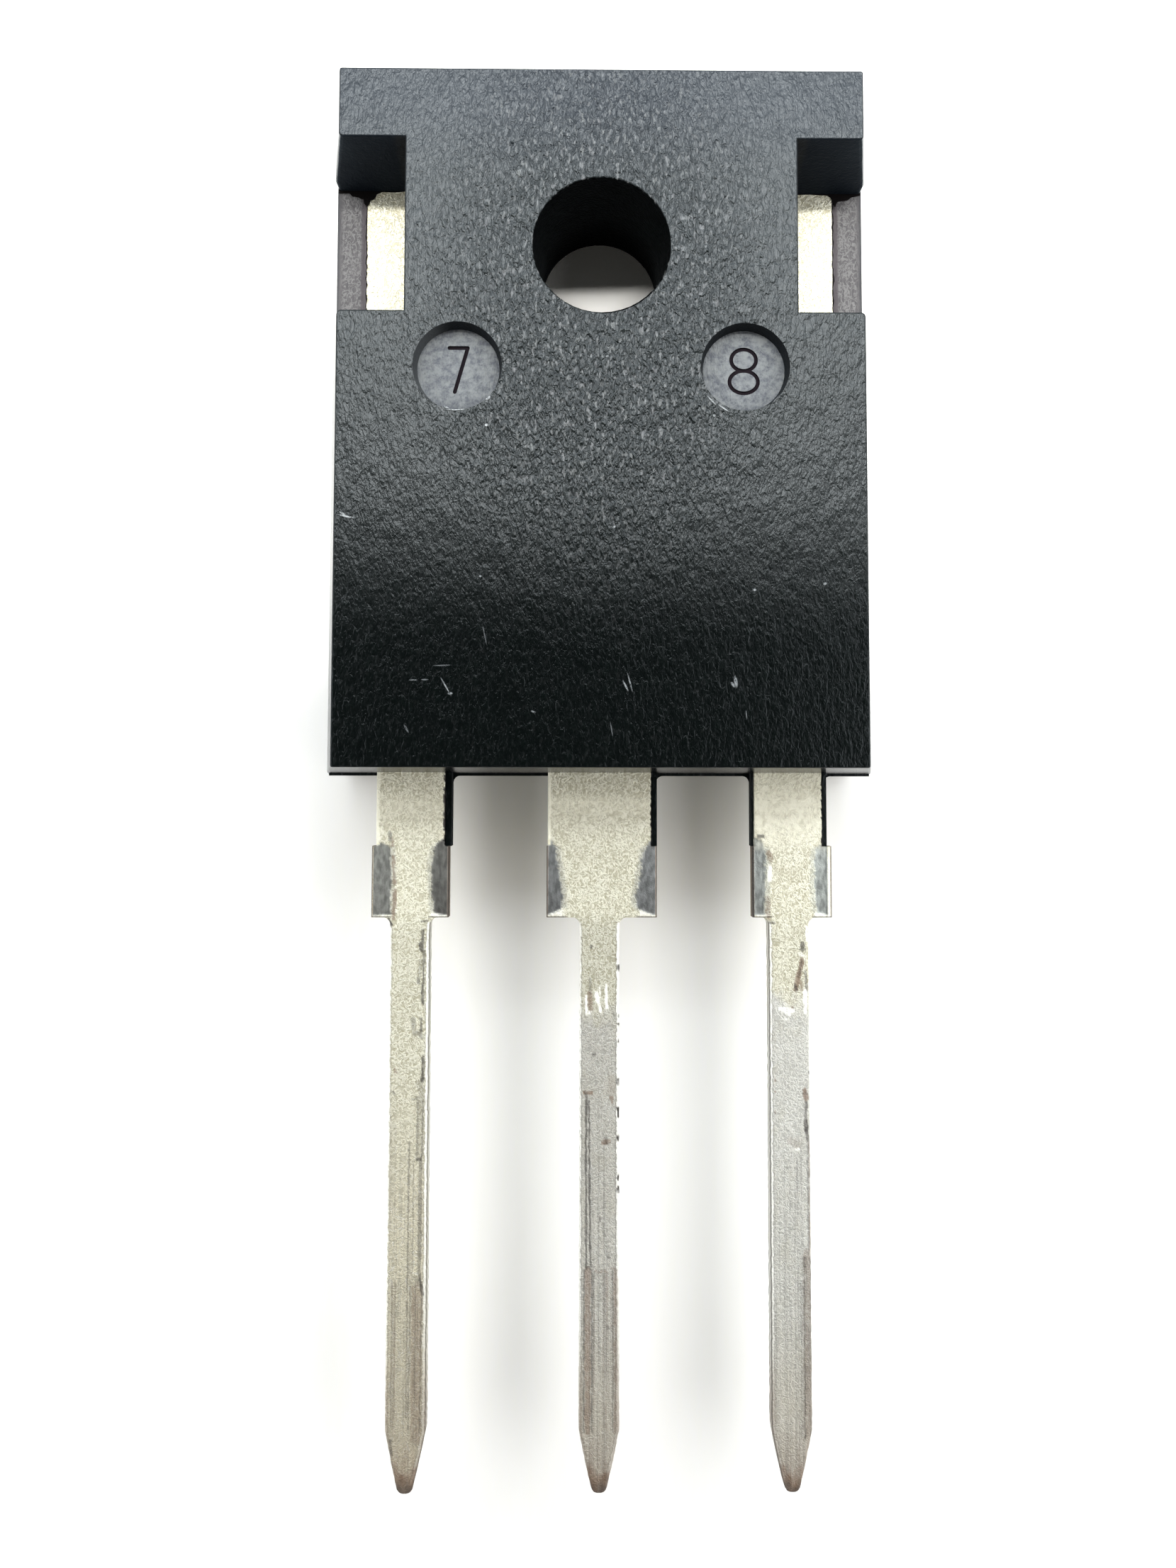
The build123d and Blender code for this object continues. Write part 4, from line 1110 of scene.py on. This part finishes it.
def sheet(name, x_range, y_range, height):
    """A flat rectangle."""
    (left, right), (low, high) = x_range, y_range
    corners = [(left, low), (right, low), (right, high), (left, high)]
    mesh = bpy.data.meshes.new(name)
    mesh.from_pydata([(x * MM, y * MM, height * MM) for x, y in corners], [], [(0, 1, 2, 3)])
    return add_object(name, mesh)


FLOOR_HALF = 900.0
FLOOR_HEIGHT = -0.01             # just under the tab, so that the two never share a plane


def make_floor():
    reach = (-FLOOR_HALF, FLOOR_HALF)
    floor = sheet("floor", reach, reach, FLOOR_HEIGHT)
    floor.data.materials.append(floor_material())


CEILING_HEIGHT = 48.0            # the bright ceiling is close over the object
CEILING_HALF = 130.0
CEILING_TOP = 150.0
DARK_X = (-38.0, 26.0)           # a dark rectangle is left open in it, over the body and the leads
DARK_Y = (-70.0, 16.0)
BAND_TOP = 34.0                  # the ceiling's brightest part reaches from the dark one to here
KEY_HEIGHT = 600.0
KEY_TILT = math.radians(17.9)
KEY_TURN = math.radians(2.0)
KEY_RADIANCE = 89.0
KEY_HALF_LENGTH = 195.0
KEY_DEPTH = 36.0
FLAG_HEIGHT = 66.0
FLAG_HALF = 200.0
FLAG_LOW = -300.0
SHADE_FROM = -8.9                # the flag keeps the key lamp off the front face below this y


def softbox(name, x_range, y_range, height, radiance, tint=(1.0, 1.0, 1.0)):
    """A flat lamp facing down, of even brightness."""
    width = x_range[1] - x_range[0]
    depth = y_range[1] - y_range[0]
    data = bpy.data.lights.new(name, "AREA")
    data.shape = "RECTANGLE"
    data.size = width * MM
    data.size_y = depth * MM
    data.energy = radiance * math.pi * width * depth * MM * MM
    data.color = tint
    lamp = add_object(name, data)
    middle = (sum(x_range) / 2, sum(y_range) / 2, height)
    lamp.location = tuple(c * MM for c in middle)
    lamp.visible_camera = False
    return lamp


def make_lights():
    near = CEILING_HEIGHT
    wide = (-CEILING_HALF, CEILING_HALF)
    softbox("ceiling_band", wide, (DARK_Y[1], BAND_TOP), near, 6.15, (0.91, 0.96, 1.0))
    softbox("ceiling_top", wide, (BAND_TOP, CEILING_TOP), near, 2.75, (0.94, 0.98, 1.0))
    softbox("ceiling_left", (-CEILING_HALF, DARK_X[0]), DARK_Y, near, 2.9)
    softbox("ceiling_right", (DARK_X[1], CEILING_HALF), DARK_Y, near, 2.9)
    dim = softbox("ceiling_dark", DARK_X, DARK_Y, near, 0.12, (1.0, 0.95, 0.83))
    dim.visible_glossy = False
    key_y = KEY_HEIGHT * math.tan(KEY_TILT)
    lengthways = (-KEY_HALF_LENGTH, KEY_HALF_LENGTH)
    across = (key_y - KEY_DEPTH / 2, key_y + KEY_DEPTH / 2)
    key = softbox("key_strip", lengthways, across, KEY_HEIGHT, KEY_RADIANCE, (1.0, 0.985, 0.95))
    key.rotation_euler.z = KEY_TURN
    reach = key_y - SHADE_FROM
    edge = SHADE_FROM + reach * (FLAG_HEIGHT - BODY_FRONT) / (KEY_HEIGHT - BODY_FRONT)
    flag = sheet("flag", (-FLAG_HALF, FLAG_HALF), (FLAG_LOW, edge), FLAG_HEIGHT)
    flag.visible_camera = False
    flag.visible_glossy = False
    flag.visible_diffuse = False


def make_world():
    """White for the camera, white walls and a dim ceiling in reflections, and a weak fill."""
    world = bpy.data.worlds.new("studio")
    world.use_nodes = True
    g = Graph("studio", world.node_tree)
    path = g.node("ShaderNodeLightPath")
    direction = g.node("ShaderNodeTexCoord").outputs["Generated"]
    height = g.node("ShaderNodeSeparateXYZ", Vector=direction).outputs[2]
    walls = g.ramp(height, 0.5, 0.15)
    glossy, clear = path.outputs["Is Glossy Ray"], path.outputs["Is Transmission Ray"]
    mirrored = g.math("ADD", glossy, clear, clamp=True)
    room = g.mix(walls, rgb(0.05, 0.05, 0.05), rgb(1, 1, 1))
    fill = g.mix(mirrored, rgb(0.035, 0.035, 0.035), room)
    colour = g.mix(path.outputs["Is Camera Ray"], fill, rgb(1, 1, 1))
    shader = g.node("ShaderNodeBackground", Color=colour, Strength=1.0)
    g.output(shader, "World")
    bpy.context.scene.world = world


def finish_cad_node(node, material):
    """Gives a CAD node, whose mesh stays as it is, its material."""
    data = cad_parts[node].data
    data.materials.clear()
    data.materials.append(material)


# Each lead's node, the x of its centre and the seed of its marks and painted light.
LEADS = (("gate_lead", -LEAD_PITCH, 11), ("heat_tab", 0.0, 23), ("drain_lead", LEAD_PITCH, 37))


def main():
    bpy.context.scene.view_settings.view_transform = "Standard"
    make_camera()
    make_floor()
    make_lights()
    make_world()

    finish_cad_node("mould_body", compound_material())
    wires = [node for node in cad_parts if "wire" in node]
    for group, material in (
        (wires, wire_material()),
        (("lower_die", "upper_die"), silicon_material()),
        (("lower_die_solder", "upper_die_solder"), solder_material()),
    ):
        for node in group:
            finish_cad_node(node, material)

    make_flash()

    for node, centre, seed in LEADS:
        material = tin_material("tin_" + node, TIN_LOOKS[node])
        make_lead(node, centre, node + "_tinned", material, seed)


main()
